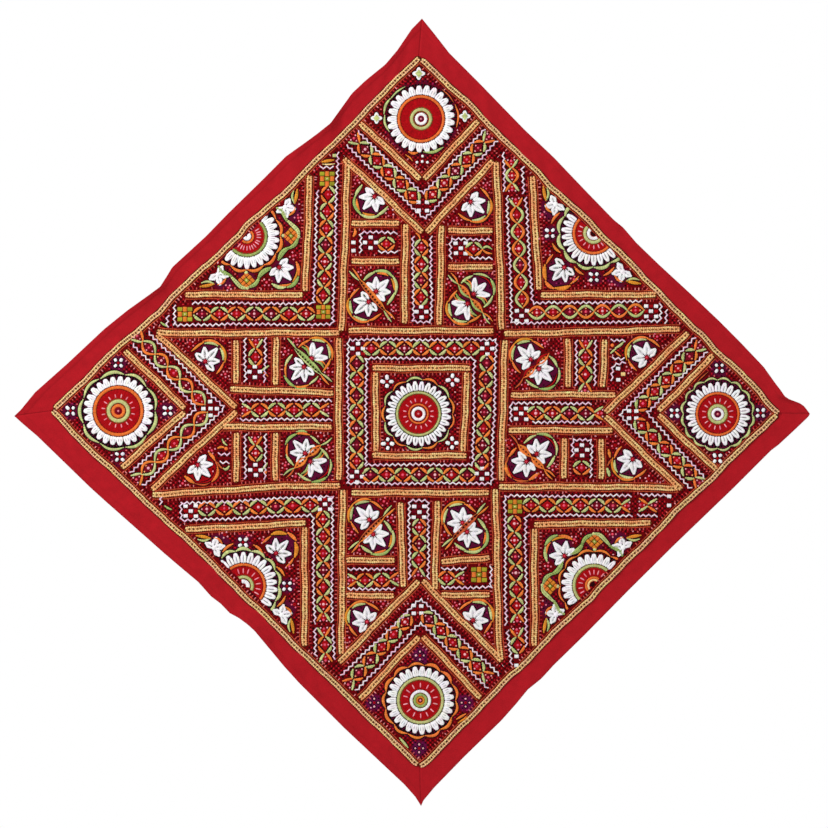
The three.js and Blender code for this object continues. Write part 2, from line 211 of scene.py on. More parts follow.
# -------------------- maps at 1 mm
SIZE = 2 * REACH + 1
MAP_X, MAP_Z = np.meshgrid(np.arange(-REACH, REACH + 1.0), np.arange(-REACH, REACH + 1.0))
inside = np.zeros((SIZE, SIZE), bool)       # the embroidered field
swell = np.zeros((SIZE, SIZE))              # height of the panels' swelling
taken = np.zeros((SIZE, SIZE), bool)        # already covered with stitches


def near(points, reach):
    """Map cells within reach of each point."""
    k = int(np.ceil(reach))
    oz, ox = np.mgrid[-k:k + 1, -k:k + 1]
    keep = ox ** 2 + oz ** 2 <= reach ** 2
    points = np.atleast_2d(points)
    ix = np.rint(points[:, :1] + REACH + ox[keep]).astype(int).clip(0, SIZE - 1)
    iz = np.rint(points[:, 1:2] + REACH + oz[keep]).astype(int).clip(0, SIZE - 1)
    return iz, ix


def soften(field, reach):
    """The mean of a map over a square around each cell."""
    n, whole = field.shape[0], 2 * reach + 1
    for axis in (0, 1):
        before = np.repeat(np.take(field, [0], axis), reach + 1, axis)
        after = np.repeat(np.take(field, [-1], axis), reach, axis)
        total = np.cumsum(np.concatenate([before, field, after], axis), axis)
        ends = [np.take(total, np.arange(first, first + n), axis) for first in (0, whole)]
        field = (ends[1] - ends[0]) / whole
    return field


for p in PANELS.values():
    u = np.linspace(0, 1, PATCH_STEPS)
    at = near(coons(*p["edges"], u, u).reshape(-1, 2), 1)
    inside[at] = True
    swell[at] = np.maximum(swell[at], (PUFF * 16 * np.outer(u * (1 - u), u * (1 - u))).reshape(-1, 1))
SOFT_SWELL = soften(swell, 4)
HEIGHT = wave(MAP_X, MAP_Z) + OFF_WALL + CLOTH + SOFT_SWELL
for _ in range(PUCKERS):
    angle, length, phase = rng.uniform(0, np.pi), rng.uniform(14, 60), rng.uniform(0, 6.28)
    HEIGHT += 0.006 * length ** 0.7 * np.sin(
        2 * np.pi * (MAP_X * np.cos(angle) + MAP_Z * np.sin(angle)) / length + phase)


def sample(field, xz):
    """A map's values between its cells."""
    x, z = (np.clip(xz[..., k] + REACH, 0, SIZE - 1.001) for k in (0, 1))
    i, j = x.astype(int), z.astype(int)
    fx, fz = x - i, z - j
    if field.ndim == 3:
        fx, fz = fx[..., None], fz[..., None]
    return ((1 - fz) * ((1 - fx) * field[j, i] + fx * field[j, i + 1])
            + fz * ((1 - fx) * field[j + 1, i] + fx * field[j + 1, i + 1]))


# -------------------- colours
def linear(colour):
    """An sRGB colour of three values up to 255, in linear light."""
    c = np.asarray(colour, float) / 255
    return np.where(c <= 0.04045, c / 12.92, ((c + 0.055) / 1.055) ** 2.4)


TINT = {name: linear(c) for name, c in dict(
    maroon=(116, 3, 10), deep=(42, 1, 6), black=(12, 2, 4), plum=(98, 12, 52), brown=(74, 20, 10),
    cream=(255, 214, 146), peach=(252, 170, 112), blush=(255, 196, 152), rust=(192, 82, 46),
    orange=(240, 122, 58), ochre=(222, 142, 44), green=(204, 208, 140), sage=(150, 176, 94),
    olive=(152, 148, 40), leaf=(50, 84, 32), lilac=(240, 200, 226), white=(252, 248, 250),
    grey=(208, 208, 212), pink=(230, 80, 108), pale=(248, 178, 188), red=(170, 8, 18),
    wine=(118, 4, 28), border=(176, 24, 34), edge=(78, 24, 10), hole=(82, 40, 14),
    violet=(112, 16, 84), reverse=(120, 22, 28), berry=(150, 30, 84),
    scarlet=(182, 14, 30), crimson=(200, 34, 48), rose=(216, 96, 98),
    tick_dark=(180, 40, 46), tick_mid=(206, 90, 84), tick_pale=(226, 140, 140)).items()}
SPLIT = np.array((0.16, 0.19, 0.17))        # colour of the line that splits a bold petal
KIN = {"green": "sage", "sage": "green", "orange": "ochre", "ochre": "orange", "rust": "orange"}


def blend(a, b, t):
    """The colour at a share of the way between two tints."""
    t = np.asarray(t, float)[..., None]
    return TINT[a] * (1 - t) + TINT[b] * t


def yarn(colour, share=0.35):
    """The colour of one length of thread, leaning towards its kin."""
    return blend(colour, KIN[colour], rng.uniform(0, share)) if colour in KIN else TINT[colour]


ground = np.empty((SIZE, SIZE, 3))
ground[:] = TINT["maroon"]


def patch(centre, radius, tint=TINT["plum"]):
    """Colours the ground around a point."""
    ground[near(centre, radius)] = tint


# -------------------- stitches
# Stations along a stitch (place, width, height) between its two pointed ends, and the points of
# its section (place, height).
BEAD_SECTION = ((-1, -0.25), (-0.45, 0.92), (0.45, 0.92), (1, -0.25))
SHAPES = {
    "tick": (((0.3, 1, 1), (0.7, 1, 1)), ((-1, -0.2), (0, 1), (1, -0.2))),
    "bead": (((0.2, 0.92, 0.85), (0.8, 0.92, 0.85)), BEAD_SECTION),
    "lens": (((0.22, 0.74, 0.8), (0.5, 1, 1), (0.78, 0.74, 0.8)), BEAD_SECTION),
}
ENDS_DOWN = -0.3        # height of a stitch's two ends, as a share of the stitch's own


def mesh_object(name, co, faces, colours):
    """A smooth mesh with a colour at each point."""
    mesh = bpy.data.meshes.new(name)
    corners = faces.shape[1]
    mesh.vertices.add(len(co))
    mesh.vertices.foreach_set("co", co.astype(np.float32).ravel())
    mesh.loops.add(faces.size)
    mesh.loops.foreach_set("vertex_index", faces.astype(np.int32).ravel())
    mesh.polygons.add(len(faces))
    mesh.polygons.foreach_set("loop_start", np.arange(0, faces.size, corners).astype(np.int32))
    mesh.polygons.foreach_set("use_smooth", np.ones(len(faces), bool))
    mesh.update(calc_edges=True)
    layer = mesh.color_attributes.new("tone", "FLOAT_COLOR", "POINT")
    rgba = np.ones((len(co), 4), np.float32)
    rgba[:, :3] = np.clip(colours, 0, 1)
    layer.data.foreach_set("color", rgba.ravel())
    obj = bpy.data.objects.new(name, mesh)
    bpy.context.scene.collection.objects.link(obj)
    return obj


class Thread:
    """The stitches of one piece, kept by shape in blocks of ten columns: two ends, width, height,
    level above the cloth and colour."""
    every = []

    def __init__(self, name, back=False):
        self.name, self.back, self.sewn = name, back, {}
        Thread.every.append(self)

    def sew(self, a, b, width, height, colour, level=0.1, shape="bead", vary=0.09):
        """Stitches from a to b, level above the cloth; vary is how much they differ in lightness."""
        a, b = np.atleast_2d(np.asarray(a, float)), np.atleast_2d(np.asarray(b, float))
        n = max(len(a), len(b))
        colour = TINT[colour] if isinstance(colour, str) else np.asarray(colour)
        block = np.empty((n, 10))
        block[:, 0:2], block[:, 2:4] = a, b
        block[:, 4], block[:, 5], block[:, 6] = width, height, level
        shade = np.exp(vary * rng.standard_normal((n, 1))) * np.exp(0.03 * rng.standard_normal((n, 3)))
        block[:, 7:] = colour * shade
        self.sewn.setdefault(shape, []).append(block)

    def join(self, points, past, *look):
        """A stitch from each point to the next, with both ends reaching past the points."""
        self.sew(points[:-1] - past[:-1], points[1:] + past[1:], *look)

    def centred(self, middle, reach, *look):
        """A stitch reaching to both sides of each middle."""
        self.sew(middle - reach, middle + reach, *look)

    def spokes(self, centre, angle, r0, r1, *look):
        """A stitch at each angle from one radius to another."""
        self.sew(polar(centre, angle, r0), polar(centre, angle, r1), *look)

    def rows_of(self, shape):
        """All the stitches of one shape."""
        return np.concatenate(self.sewn[shape])

    def build(self):
        """One mesh of all the stitches, laid on the cloth or on its back."""
        all_co, all_faces, all_colours, base = [], [], [], 0
        for shape in self.sewn:
            s = self.rows_of(shape)
            stations, section = SHAPES[shape]
            k, m, n = len(stations), len(section), len(s)
            size = k * m + 2
            a, run = s[:, 0:2], s[:, 2:4] - s[:, 0:2]
            left = left_of(run) / np.maximum(np.hypot(*run.T), 1e-6)[:, None]
            xz = np.empty((n, size, 2))
            up = np.full((n, size), ENDS_DOWN)
            xz[:, 0], xz[:, -1] = a, a + run
            for i, (at, wide, high) in enumerate(stations):
                for j, (off, rise) in enumerate(section):
                    xz[:, 1 + i * m + j] = a + run * at + left * (s[:, 4:5] / 2 * wide * off)
                    up[:, 1 + i * m + j] = high * rise
            lift = sample(HEIGHT, xz)
            if self.back:
                y = -(lift - CLOTH - sample(SOFT_SWELL, xz)) + s[:, 6:7] + up * s[:, 5:6]
            else:
                y = -(lift + s[:, 6:7] + up * s[:, 5:6])
            co = np.stack([xz[..., 0] - PIN[0], y, xz[..., 1] - PIN[1]], -1) * MM
            last = 1 + (k - 1) * m
            faces = [(0, 1 + j, 2 + j) for j in range(m - 1)]
            faces += [(last + j, k * m + 1, last + j + 1) for j in range(m - 1)]
            for p in (1 + i * m + j for i in range(k - 1) for j in range(m - 1)):
                faces += [(p, p + m, p + m + 1), (p, p + m + 1, p + 1)]
            faces = np.array(faces)[:, ::-1] if self.back else np.array(faces)
            all_faces.append((faces[None] + base + np.arange(n)[:, None, None] * size).reshape(-1, 3))
            all_co.append(co.reshape(-1, 3))
            all_colours.append(np.repeat(s[:, 7:], size, 0))
            base += n * size
        return mesh_object(self.name, *(np.concatenate(part) for part in (all_co, all_faces, all_colours)))


frame_bands, inner_bands = Thread("frame_band_stitches"), Thread("panel_band_stitches")
# The outline stitches are black and brown outlines. Many are laid wider than the motif above them, so they
# also paint the shade around it.
zigzags, outlines_and_shade = Thread("zigzag_stitches"), Thread("outline_stitches")
leaves, rules = Thread("leaf_stitches"), Thread("rust_line_stitches")
petals, fills = Thread("petal_stitches"), Thread("motif_fill_stitches")
running_a, running_b = Thread("running_stitches_upper"), Thread("running_stitches_lower")
reverse = Thread("reverse_stitches", back=True)


def walk(points, pitch):
    """Evenly spaced points along a polyline, with the direction and the left-hand normal at each."""
    points = np.asarray(points, float)
    s = np.r_[0, np.cumsum(np.hypot(*np.diff(points, axis=0).T))]
    n = max(2, int(round(s[-1] / pitch)) + 1)
    p = np.stack([np.interp(np.linspace(0, s[-1], n), s, points[:, k]) for k in (0, 1)], -1)
    t = np.gradient(p, axis=0)
    t /= np.maximum(np.hypot(*t.T), 1e-9)[:, None]
    return p, t, left_of(t)


def wander(points, reach=0.5, pitch=3.0, straight=0.97):
    """The same polyline, off true by a little between its bends, as a hand-sewn line is."""
    p, t, n = walk(points, pitch)
    if len(p) < 12:
        return points
    s = np.arange(len(p)) * pitch
    off = np.sin(s / rng.uniform(15, 22) + rng.uniform(0, 6.28))
    off += 0.6 * np.sin(s / 7.3 + rng.uniform(0, 6.28))
    bend = np.abs((t[2:] * t[:-2]).sum(1)) < straight
    p[1:-1][~bend] += (n * (reach * off)[:, None])[1:-1][~bend]
    return p


def curve(points, each=8):
    """A smooth curve through a few points."""
    p = np.asarray(points, float)
    p = np.concatenate([[2 * p[0] - p[1]], p, [2 * p[-1] - p[-2]]])
    t = np.linspace(0, 1, each, endpoint=False)[:, None]
    out = [0.5 * (2 * b + (c - a) * t + (2 * a - 5 * b + 4 * c - d) * t ** 2
                  + (3 * b - a - 3 * c + d) * t ** 3) for a, b, c, d in zip(p, p[1:], p[2:], p[3:])]
    return np.concatenate(out + [p[-2:-1]])


def polar(centre, angle, radius):
    """Points at angles in degrees and distances from a centre."""
    angle = np.radians(angle)
    return np.stack([centre[0] + radius * np.cos(angle), centre[1] + radius * np.sin(angle)], -1)


def heading(angle):
    """A unit vector."""
    return polar((0, 0), angle, 1.0)


def clock(count, start=0.5):
    """Angles evenly around a circle, the first at a share of the step."""
    return (np.arange(count) + start) * 360 / count


def axes(a, b):
    """Both points as arrays, the distance between them, and unit vectors along and to the left."""
    a, b = np.array(a, float), np.array(b, float)
    length = np.hypot(*(b - a))
    t = (b - a) / length
    return a, b, length, t, left_of(t)


def alternate(count):
    """1 and -1 in turn, as a column."""
    return np.where(np.arange(count) % 2 == 0, 1.0, -1.0)[:, None]


def slow(n, length, seed):
    """A slow random course from 0 to 1, for tone along a thread."""
    r = np.random.default_rng(seed)
    t = np.arange(n)
    course = sum(np.sin(2 * np.pi * t / (length * f) + r.uniform(0, 6.28)) for f in (1, 0.43, 0.19))
    return np.clip(0.5 + course / 4, 0, 1)


def leaf(points, width, colour, vein=None, level=0.4, edge="black", pitch=3.0):
    """Satin leaf along a curve, pointed at both ends, on a wider dark outline: a real outline, widened into
    painted shade around the leaf.
    """
    p, t, _ = walk(curve(points), pitch)
    k = len(p) - 1
    wide = width * np.sin(np.pi * (np.arange(k) + 0.5) / k) ** 0.5
    past = t * pitch * 0.3
    # the dark outline reaches past the leaf on every side, as painted shade
    outlines_and_shade.join(p, past * 1.8, wide + 2.6, 0.3, edge, 0.05, "tick", 0.2)
    leaves.join(p, past, wide, 0.9, yarn(colour), level)
    if vein and k > 1:
        leaves.sew(p[:-1] + past[:-1], p[1:], 0.75, 0.4, vein, level + 0.75, "tick")


def dot(centre, radius, colour, height=0.8, level=0.6, piece=fills, angle=None, stretch=1.0):
    """A knot, or one at each of several centres."""
    c = np.atleast_2d(np.asarray(centre, float))
    angle = rng.uniform(0, np.pi, len(c)) if angle is None else np.broadcast_to(np.radians(angle), len(c))
    reach = np.stack([np.cos(angle), np.sin(angle)], -1) * radius * stretch
    piece.centred(c, reach, 1.9 * radius, height, colour, level)


# The two kinds of tan band: width, the share of it in each rail, the core's shade between them, the
# sides with a rust line, and the dark holes (width, half length, distance apart, lean to ochre).
FRAME_BAND = dict(piece=frame_bands, width=6.8, rail=0.38, core=0.66, sides=(-1,), hole=(2.0, 1.3, 4.8, 0))
PANEL_BAND = dict(piece=inner_bands, width=7.4, rail=0.41, core=0.8, sides=(1, -1),
                  hole=(1.6, 1.8, 5.1, 0.12))
FRINGE = []     # places for short stitches on the bands, sewn only where the cloth is still free


def band(points, tones, seed, piece, width, rail, core, sides, hole):
    """Two rails of chain stitch tied across, with dark holes between the ties, and a thin rust line."""
    p, t, n = walk(wander(points), 2.75)
    k = len(p)
    # dark brown edging wider than the band: its real dark outline, widened into painted shade along both
    # sides
    piece.join(p[::2], t[::2] * 3, width + 2.2, 0.4, "edge", 0.0, "tick", 0.1)
    q, s, _ = walk(p, 5.5)
    colour = blend(*tones, slow(len(q) - 1, 17, 5 + seed)) * core
    piece.join(q, s * 0.7, width - 3.8, 0.8, colour, 0.3, "tick", 0.12)
    sway = n * 0.2 * np.sin(np.arange(k) * 0.9)[:, None]
    rail *= width
    at_end = (np.minimum(np.arange(k), np.arange(k)[::-1]) < 1)[:, None]
    for sign, length, tone in ((1, 46, tones), (-1, 61, tones[::-1] if seed % 2 else tones)):
        q = p + n * (sign * (width - rail) / 2) + sway - n * (sign * 0.9 * at_end)
        colour = blend(*tone, slow(k - 1, length, 11 * sign + 13 + seed))
        piece.join(q, t * 0.1 + n * (0.3 * sign), rail, 1.15, colour, 0.45, "bead", 0.11)
    wide, reach, pitch, fade = hole
    q, s, m = walk(p, pitch)
    q = q + s * rng.uniform(-0.6, 0.6, (len(q), 1)) + m * rng.uniform(-0.3, 0.3, (len(q), 1))
    slant = rng.uniform(0.5, 0.9, (len(q), 1)) * -alternate(len(q))
    piece.centred(q, s * reach + m * slant, wide, 0.5, blend("hole", "ochre", fade), 1.35, "tick", 0.25)
    for sign in sides:
        q, s, m = walk(p, 5.4)
        q = q + m * (sign * (width / 2 + 2.0)) + m * rng.uniform(-0.2, 0.2, (len(q), 1))
        rules.join(q, s * 0.9, 1.1, 0.45, "rust", 0.15, "tick", 0.16)
        q, s, m = walk(p, 2.5)
        FRINGE.append((q + m * (sign * (width / 2 + 4.5)), m, s))


def zigzag(points, seed, pitch=3.9, height=1.5, hollow=2.6):
    """Pale zigzag with dark stitches in its hollows."""
    p, t, n = walk(wander(points), pitch)
    flip = alternate(len(p))
    q = p + n * flip * height * rng.uniform(0.8, 1.15, (len(p), 1)) + t * rng.uniform(-0.4, 0.4, (len(p), 1))
    tone = blend("lilac", "white", slow(len(p), 30, 40 + seed) * 0.9)
    d = q[1:] - q[:-1]
    d /= np.hypot(*d.T)[:, None]
    zigzags.sew(q[:-1] - d * 0.5, q[1:] + d * 0.5, 1.75, 0.95, tone[:-1], 0.4)
    zigzags.centred(q, t, 1.9, 1.0, tone, 0.4, "tick")
    outlines_and_shade.centred(p - n * flip * hollow, t * 1.9, 3.0, 0.45, "black", 0.05, "tick", 0.3)


def lozenge(c, t, n, a, b, colour, level=0.25, count=7):
    """Diamond of half lengths a along t and b along n, filled with stitches along t."""
    off = (np.arange(count) - (count - 1) / 2) / (count / 2)
    mid = np.asarray(c) + np.outer(off * b, n)
    reach = np.outer(a * (1 - np.abs(off)) + 0.4, t)
    fills.centred(mid, reach, 2 * b / count * 1.3, 0.5, colour, level, "bead", 0.12)


CELL = 7.6      # half width of a chain's diamonds
# Course of a whole strand past a diamond, in steps along the chain and half widths beside it.
ARCH = ((-0.54, -0.06), (-0.25, 0.74), (0, 1), (0.25, 0.74), (0.54, -0.06))


def half_cell(c, t, n, pitch, end, colours, filling):
    """The half of a chain's diamond that lies towards one end."""
    for sign, colour in zip((1, -1), colours):
        leaf([c + t * end * (pitch / 2 - 0.4) + n * sign * 1.6, c + n * sign * (CELL + 1)], 4.0, colour)
    lozenge(c + t * end * pitch * 0.2, t, n, pitch * 0.26, CELL - 2.6, filling, 0.3)
    dot(c + t * end * pitch * 0.06, 1.8, "pink", 0.9, 0.9)
    for d in (t * end * (pitch / 2 - 5), n * (CELL - 3.2), n * (3.2 - CELL)):
        dot(c + d, 1.15, "pale", 0.6, 0.55)


def full_cell(c, t, n, pitch, colours, whole):
    """A chain's diamond with four leaves around it, or with a strand past each side."""
    lozenge(c, t, n, pitch / 2 - 0.4, CELL - 0.2, "black", 0.05)
    lozenge(c, t, n, pitch / 2 - 2.0, CELL - 1.3, "wine" if rng.random() < 0.35 else "red", 0.3)
    dot(c, rng.uniform(1.5, 2.1), "pink" if rng.random() < 0.6 else "pale", 0.9, 0.9)
    for d in (t * (pitch / 2 - 5), -t * (pitch / 2 - 5), n * (CELL - 3.2), -n * (CELL - 3.2)):
        if rng.random() < 0.8:
            dot(c + d, 1.15, "pale" if rng.random() < 0.6 else "peach", 0.6, 0.55)
    for sign, colour in zip((1, -1), colours):
        if whole:
            leaf([c + t * pitch * u + n * sign * (CELL + 0.4) * v for u, v in ARCH], 3.9, colour)
            continue
        for end in (1, -1):
            base = c + t * end * (pitch / 2 - 0.4) + n * sign * 1.6
            middle = c + t * end * (pitch * 0.3) + n * sign * (CELL * 0.84)
            tip = c + t * end * 2.0 + n * sign * (CELL + 1.0)
            vein = "olive" if colour == "green" and rng.random() < 0.4 else None
            leaf([base, middle, tip], 4.2, colour, vein)


def chain(x0, z0, x1, z1, cells, start=1, cut="", whole=False):
    """Diamonds point to point on a dark lattice; green and orange leaves lie outside their edges and
    change sides at every node. Only the inner half is sewn of a cell at a cut end: first, last or
    both. A whole chain has one strand from node to node on each side in place of two leaves."""
    first, step = np.array((x0, z0), float), np.array((22.0, 0))
    if cells > 1:
        step = (np.array((x1, z1), float) - first) / (cells - 1)
    pitch = np.hypot(*step)
    t = step / pitch
    n = left_of(t)
    for i in range(cells):
        c = first + step * i + rng.uniform(-0.3, 0.3, 2)
        colours = ("green", "orange") if start * (-1) ** i > 0 else ("orange", "green")
        end = (i == 0 and cut in ("first", "both")) - (i == cells - 1 and cut in ("last", "both"))
        if end:
            half_cell(c, t, n, pitch, end, colours, "wine" if i % 2 else "red")
        else:
            full_cell(c, t, n, pitch, colours, whole)


def disc(c, radius, inner, outer=None, level=0.1, count=10):
    """A filled round, with an outer colour if one is given."""
    angle, width = clock(count, 0), 2 * np.pi * radius / count * 0.8
    fills.spokes(c, angle, radius * 0.12, radius, width, 0.55, outer or inner, level)
    if outer:
        fills.spokes(c, angle + 18, 0.1, radius * 0.62, radius * 0.4, 0.6, inner, level + 0.3)


def ring(c, r0, r1, colour, pitch, height, level, vary=0.07, rough=0.3):
    """Satin stitch across a ring."""
    n = max(3, int(round(2 * np.pi * (r0 + r1) / 2 / pitch)))
    angle = clock(n)
    fills.sew(polar(c, angle, np.maximum(r0 - rough * rng.uniform(0.3, 1, n), 0.1)),
              polar(c, angle + rng.uniform(-1, 1), r1 + rough * rng.uniform(0.3, 1, n)),
              2 * np.pi * r1 / n * 1.15, height, yarn(colour, 0.2), level, "bead", vary)


def edging(c, r, colour, pitch=3.0):
    """Short dashes around a ring."""
    angle = clock(int(round(2 * np.pi * r / pitch)))
    outlines_and_shade.spokes(c, angle, r - 0.9, r + 0.9, 1.1, 0.6, colour, 0.7, "tick", 0.2)


def hoop(c, r, width, colour, level):
    """A thin line around a centre."""
    at = polar(c, np.linspace(0, 360, max(4, int(360 * r / 230)) + 1), r)
    outlines_and_shade.sew(at[:-1], at[1:], width, 0.3, colour, level, "tick", 0.15)


def petal(base, tip, width, split=None, bold=False, point=0.68):
    """Satin stitches leaning out on both sides of a split line; the tip is pointed."""
    base, tip, length, t, n = axes(base, tip)
    run = tip - base
    # black lens wider and longer than the petal: its outline, widened into painted shade around it
    outlines_and_shade.sew(base - t * 0.5, tip + t * 1.8, width + 2.0, 0.3, "black", 0.05, "lens")
    k = max(5, int(round(length / 1.4)))
    s = (np.arange(k) + 0.6) / k
    half = width / 2 * np.minimum(0.66 + 0.9 * s, 1) * np.clip((1 - s) / 0.52, 0.02, 1) ** point
    gap = 0.62 if bold else 0.3
    for sign in (1, -1):
        inner = base + np.outer(s * length - 1.7, t) + n * sign * gap
        outer = np.outer(np.minimum(s * length + 0.7, length), t) + np.outer(np.maximum(half, 0.9) * sign, n)
        petals.sew(inner, base + outer, 2.0, 0.7, "white", 0.5, "tick", 0.04)
    petals.sew(base + run * 0.12, base + run * 0.97, 1.5, 0.6, "white", 0.4, "lens", 0.03)
    if bold or split:
        end = base + run * (0.74 if bold else 0.7)
        width = 1.5 if split == "leaf" else 1.1
        petals.sew(base + run * 0.28, end, width, 0.55, split or SPLIT, 1.0, "lens", 0.2)


POINT = {3: 0.5, 4: 1.0, 5: 0.68}       # how sharp the petals are, by their number


def flower(x, z, axis, count=5, fan=188, length=20.8, width=10.4, ends=0.93, bold=False, under="plum",
           heart=True):
    """Half flower: petals fanned about an axis over a dark patch, with a red eye or a white dot. The
    outer petals have their length times ends. The petals of a bold one are split by dark lines."""
    c = np.array((x, z), float)
    patch(polar(c, axis, length * 0.62), length * 0.92, TINT[under])
    outlines_and_shade.sew(c, polar(c, axis, 8), 9, 0.3, "black", 0.0, "bead")
    for k, s in enumerate(np.linspace(-0.5, 0.5, count)):
        angle = axis + fan * s + rng.uniform(-2, 2)
        reach = length * (1 + 0.13 * np.cos(np.radians(2 * fan * s)) * (count == 5)) \
            * (1 - (1 - ends) * (2 * abs(s)) ** 2) * rng.uniform(0.96, 1.04)
        split = ("leaf" if k in (0, count - 1) else None) if bold else "grey"
        petal(polar(c, angle, 3.2), polar(c, angle, reach), width * rng.uniform(0.95, 1.05), split, bold,
              POINT[count])
    if heart:
        disc(c, 4.4, "red", "wine", 0.6)
        hoop(c, 4.6, 1.0, "black", 1.0)
        dot(c, 1.5, blend("red", "pink", rng.uniform(0.3, 0.7)), 0.8, 1.5)
    else:
        dot(c, 3.5, "white", 1.1, 0.6)


# Rims as sweeps of leaf: from and to in degrees off the flower's axis, distance outside the rim line.
RIMS = {kind: rows("start end off width colour", *sweeps) for kind, sweeps in {
    "corner": ((66, 26, 0.6, 4.2, "orange"), (22, -20, 1.2, 4.6, "sage"), (-24, -66, 0.6, 4.2, "green"),
        (40, 2, -2.2, 2.6, "ochre"), (-6, -40, -2.2, 2.6, "orange")),
    "warm": ((96, 48, 0, 3.0, "orange"), (50, -2, 1.6, 3.2, "orange"), (2, -50, 1.6, 3.2, "ochre"),
        (44, 4, -1.6, 3.3, "green"), (-6, -42, -1.6, 3.3, "green"), (-50, -94, 0, 3.0, "orange")),
    "leafy": ((94, 50, 0, 3.6, "green"), (54, 2, 1.4, 3.8, "green"), (6, -52, 1.4, 3.8, "sage"),
        (40, 6, -1.8, 3.0, "ochre"), (-8, -40, -1.8, 3.0, "orange"), (-50, -92, 0, 3.8, "green")),
    "plain": ((96, 52, 0, 3.4, "green"), (48, 4, 1.2, 2.8, "green"), (0, -44, 1.2, 3.6, "sage"),
        (-48, -94, 0, 3.2, "green"), (30, -24, -2.0, 1.8, "red")),
    "mixed": ((98, 60, 0, 2.8, "green"), (56, 16, 0.6, 3.2, "orange"), (20, -24, 0.8, 3.6, "sage"),
        (-20, -60, -1.0, 2.6, "orange"), (-52, -94, 0, 3.4, "green"), (46, 20, 3.2, 3.2, "sage")),
    "gold": ((98, 62, 0, 2.8, "orange"), (58, 16, 1.6, 5.0, "ochre"), (14, -14, 3.4, 4.4, "orange"),
        (-16, -58, 1.6, 5.0, "ochre"), (-62, -98, 0, 3.0, "orange")),
    "flame": ((94, 56, 0, 4.4, "orange"), (52, 10, 0.5, 2.2, "rust"), (4, -40, 1.0, 4.0, "orange"),
        (-40, -62, 0.5, 2.2, "rust"), (-60, -96, 0, 3.6, "orange"), (34, -30, -2.0, 2.0, "red")),
}.items()}
RIM_REACH = 22.5        # radius of the rim line beside the flower
RIM_BULGE = 6.0         # how much farther out it lies on the flower's axis


def rim(x, z, axis, kind, flip):
    """The outline sewn around a half flower."""
    for sweep in RIMS[kind]:
        at = np.linspace(sweep["start"], sweep["end"], 4)
        r = RIM_REACH + sweep["off"] + RIM_BULGE * np.cos(np.radians(at)) ** 2 + rng.uniform(-0.5, 0.5, 4)
        leaf(polar((x, z), axis + flip * at, r), sweep["width"] * 1.2, sweep["colour"])


def whiskers(a, b, t, n, tails, start, spread, width):
    """Thin leaves past both ends of a diagonal, starting and spreading beside its line."""
    for end, way, colours in ((a, -t, tails[0]), (b, t, tails[1])):
        for sign, colour in zip((1, -1), colours):
            leaf([end + n * sign * start, end + way * 8 + n * sign * spread[0],
                  end + way * 17 + n * sign * spread[1]], width, colour)


def eye(a, b, edges, tails):
    """Diagonal of a square: two lens shapes nose to nose between a and b, each filled with dark dots."""
    a, b, _, t, n = axes(a, b)
    for s0, s1 in ((0, 0.5), (0.5, 1)):
        p, q = a + (b - a) * s0, a + (b - a) * s1
        mid = (p + q) / 2
        outlines_and_shade.sew(p + t, q - t, 9, 0.3, "brown", 0.0, "lens")
        fills.sew(p + t * 2, q - t * 2, 6.0, 0.35, yarn(edges[0]) * 0.72, 0.2, "lens")
        for sign, colour in zip((1, -1), edges):
            leaf([p, mid + n * sign * 3.7, q], 3.4, colour, None, 0.55, "brown")
        dot(p + np.outer(np.linspace(0.2, 0.8, 4), q - p), 1.15, "deep", 0.6, 0.75, outlines_and_shade)
    whiskers(a, b, t, n, tails, 0, (2.6, 2.4), 2.7)


def stripe(a, b, edges, tails):
    """Diagonal of a square: two leaf strands side by side with dark dots between them."""
    a, b, length, t, n = axes(a, b)
    outlines_and_shade.sew(a - t * 2, b + t * 2, 10, 0.3, "deep", 0.0, "lens")
    for sign, colour, share in zip((1, -1), edges, (1, 0.72)):
        bow = n * sign * 2.7
        leaf([a + n * sign, a * 0.75 + b * 0.25 + bow, a * 0.25 + b * 0.75 + bow, b + n * sign], 3.7 * share,
             colour, None, 0.5, "deep")
    fills.sew(a + t * 2, b - t * 2, 4.0, 0.5, yarn(edges[0]) * 0.8, 0.25, "lens")
    along = np.linspace(0.1, 0.9, max(4, int(length / 5.2)))
    dot(a + np.outer(along, b - a) - n * 0.8, 1.5, "deep", 0.6, 0.95, rules)
    whiskers(a, b, t, n, tails, 1, (2.4, 2.8), 3.0)


def spray(x, z, spots, radius=5.0):
    """Pink knots around a red one."""
    disc((x, z), 2.6, "red")
    angle = rng.uniform(0, 360) + clock(spots, 0) + rng.uniform(-14, 14, spots)
    c = polar((x, z), angle, radius * rng.uniform(0.75, 1.15, spots))
    dot(c, 1.25, blend("pink", "pale", rng.uniform(0.1, 0.9, spots)), 0.7, 0.5)
    if rng.random() < 0.7:
        dot((x, z), 1.5, "pink", 0.7, 0.7)


def block(x, z, size, colour, turn=0.0, count=4):
    """A square of parallel satin stitches."""
    centre, along = np.array((x, z)), heading(turn + 90)
    mid = centre + np.outer((np.arange(count) - (count - 1) / 2) * size / count, heading(turn))
    # dark outline wider than the block: its outline, widened into painted shade around it
    outlines_and_shade.centred(centre, along * (size / 2 + 1.1), size + 3.0, 0.3, "deep", 0.0, "bead")
    fills.centred(mid, along * size / 2, size / count * 1.3, 0.7, colour, 0.4, "bead", 0.05)


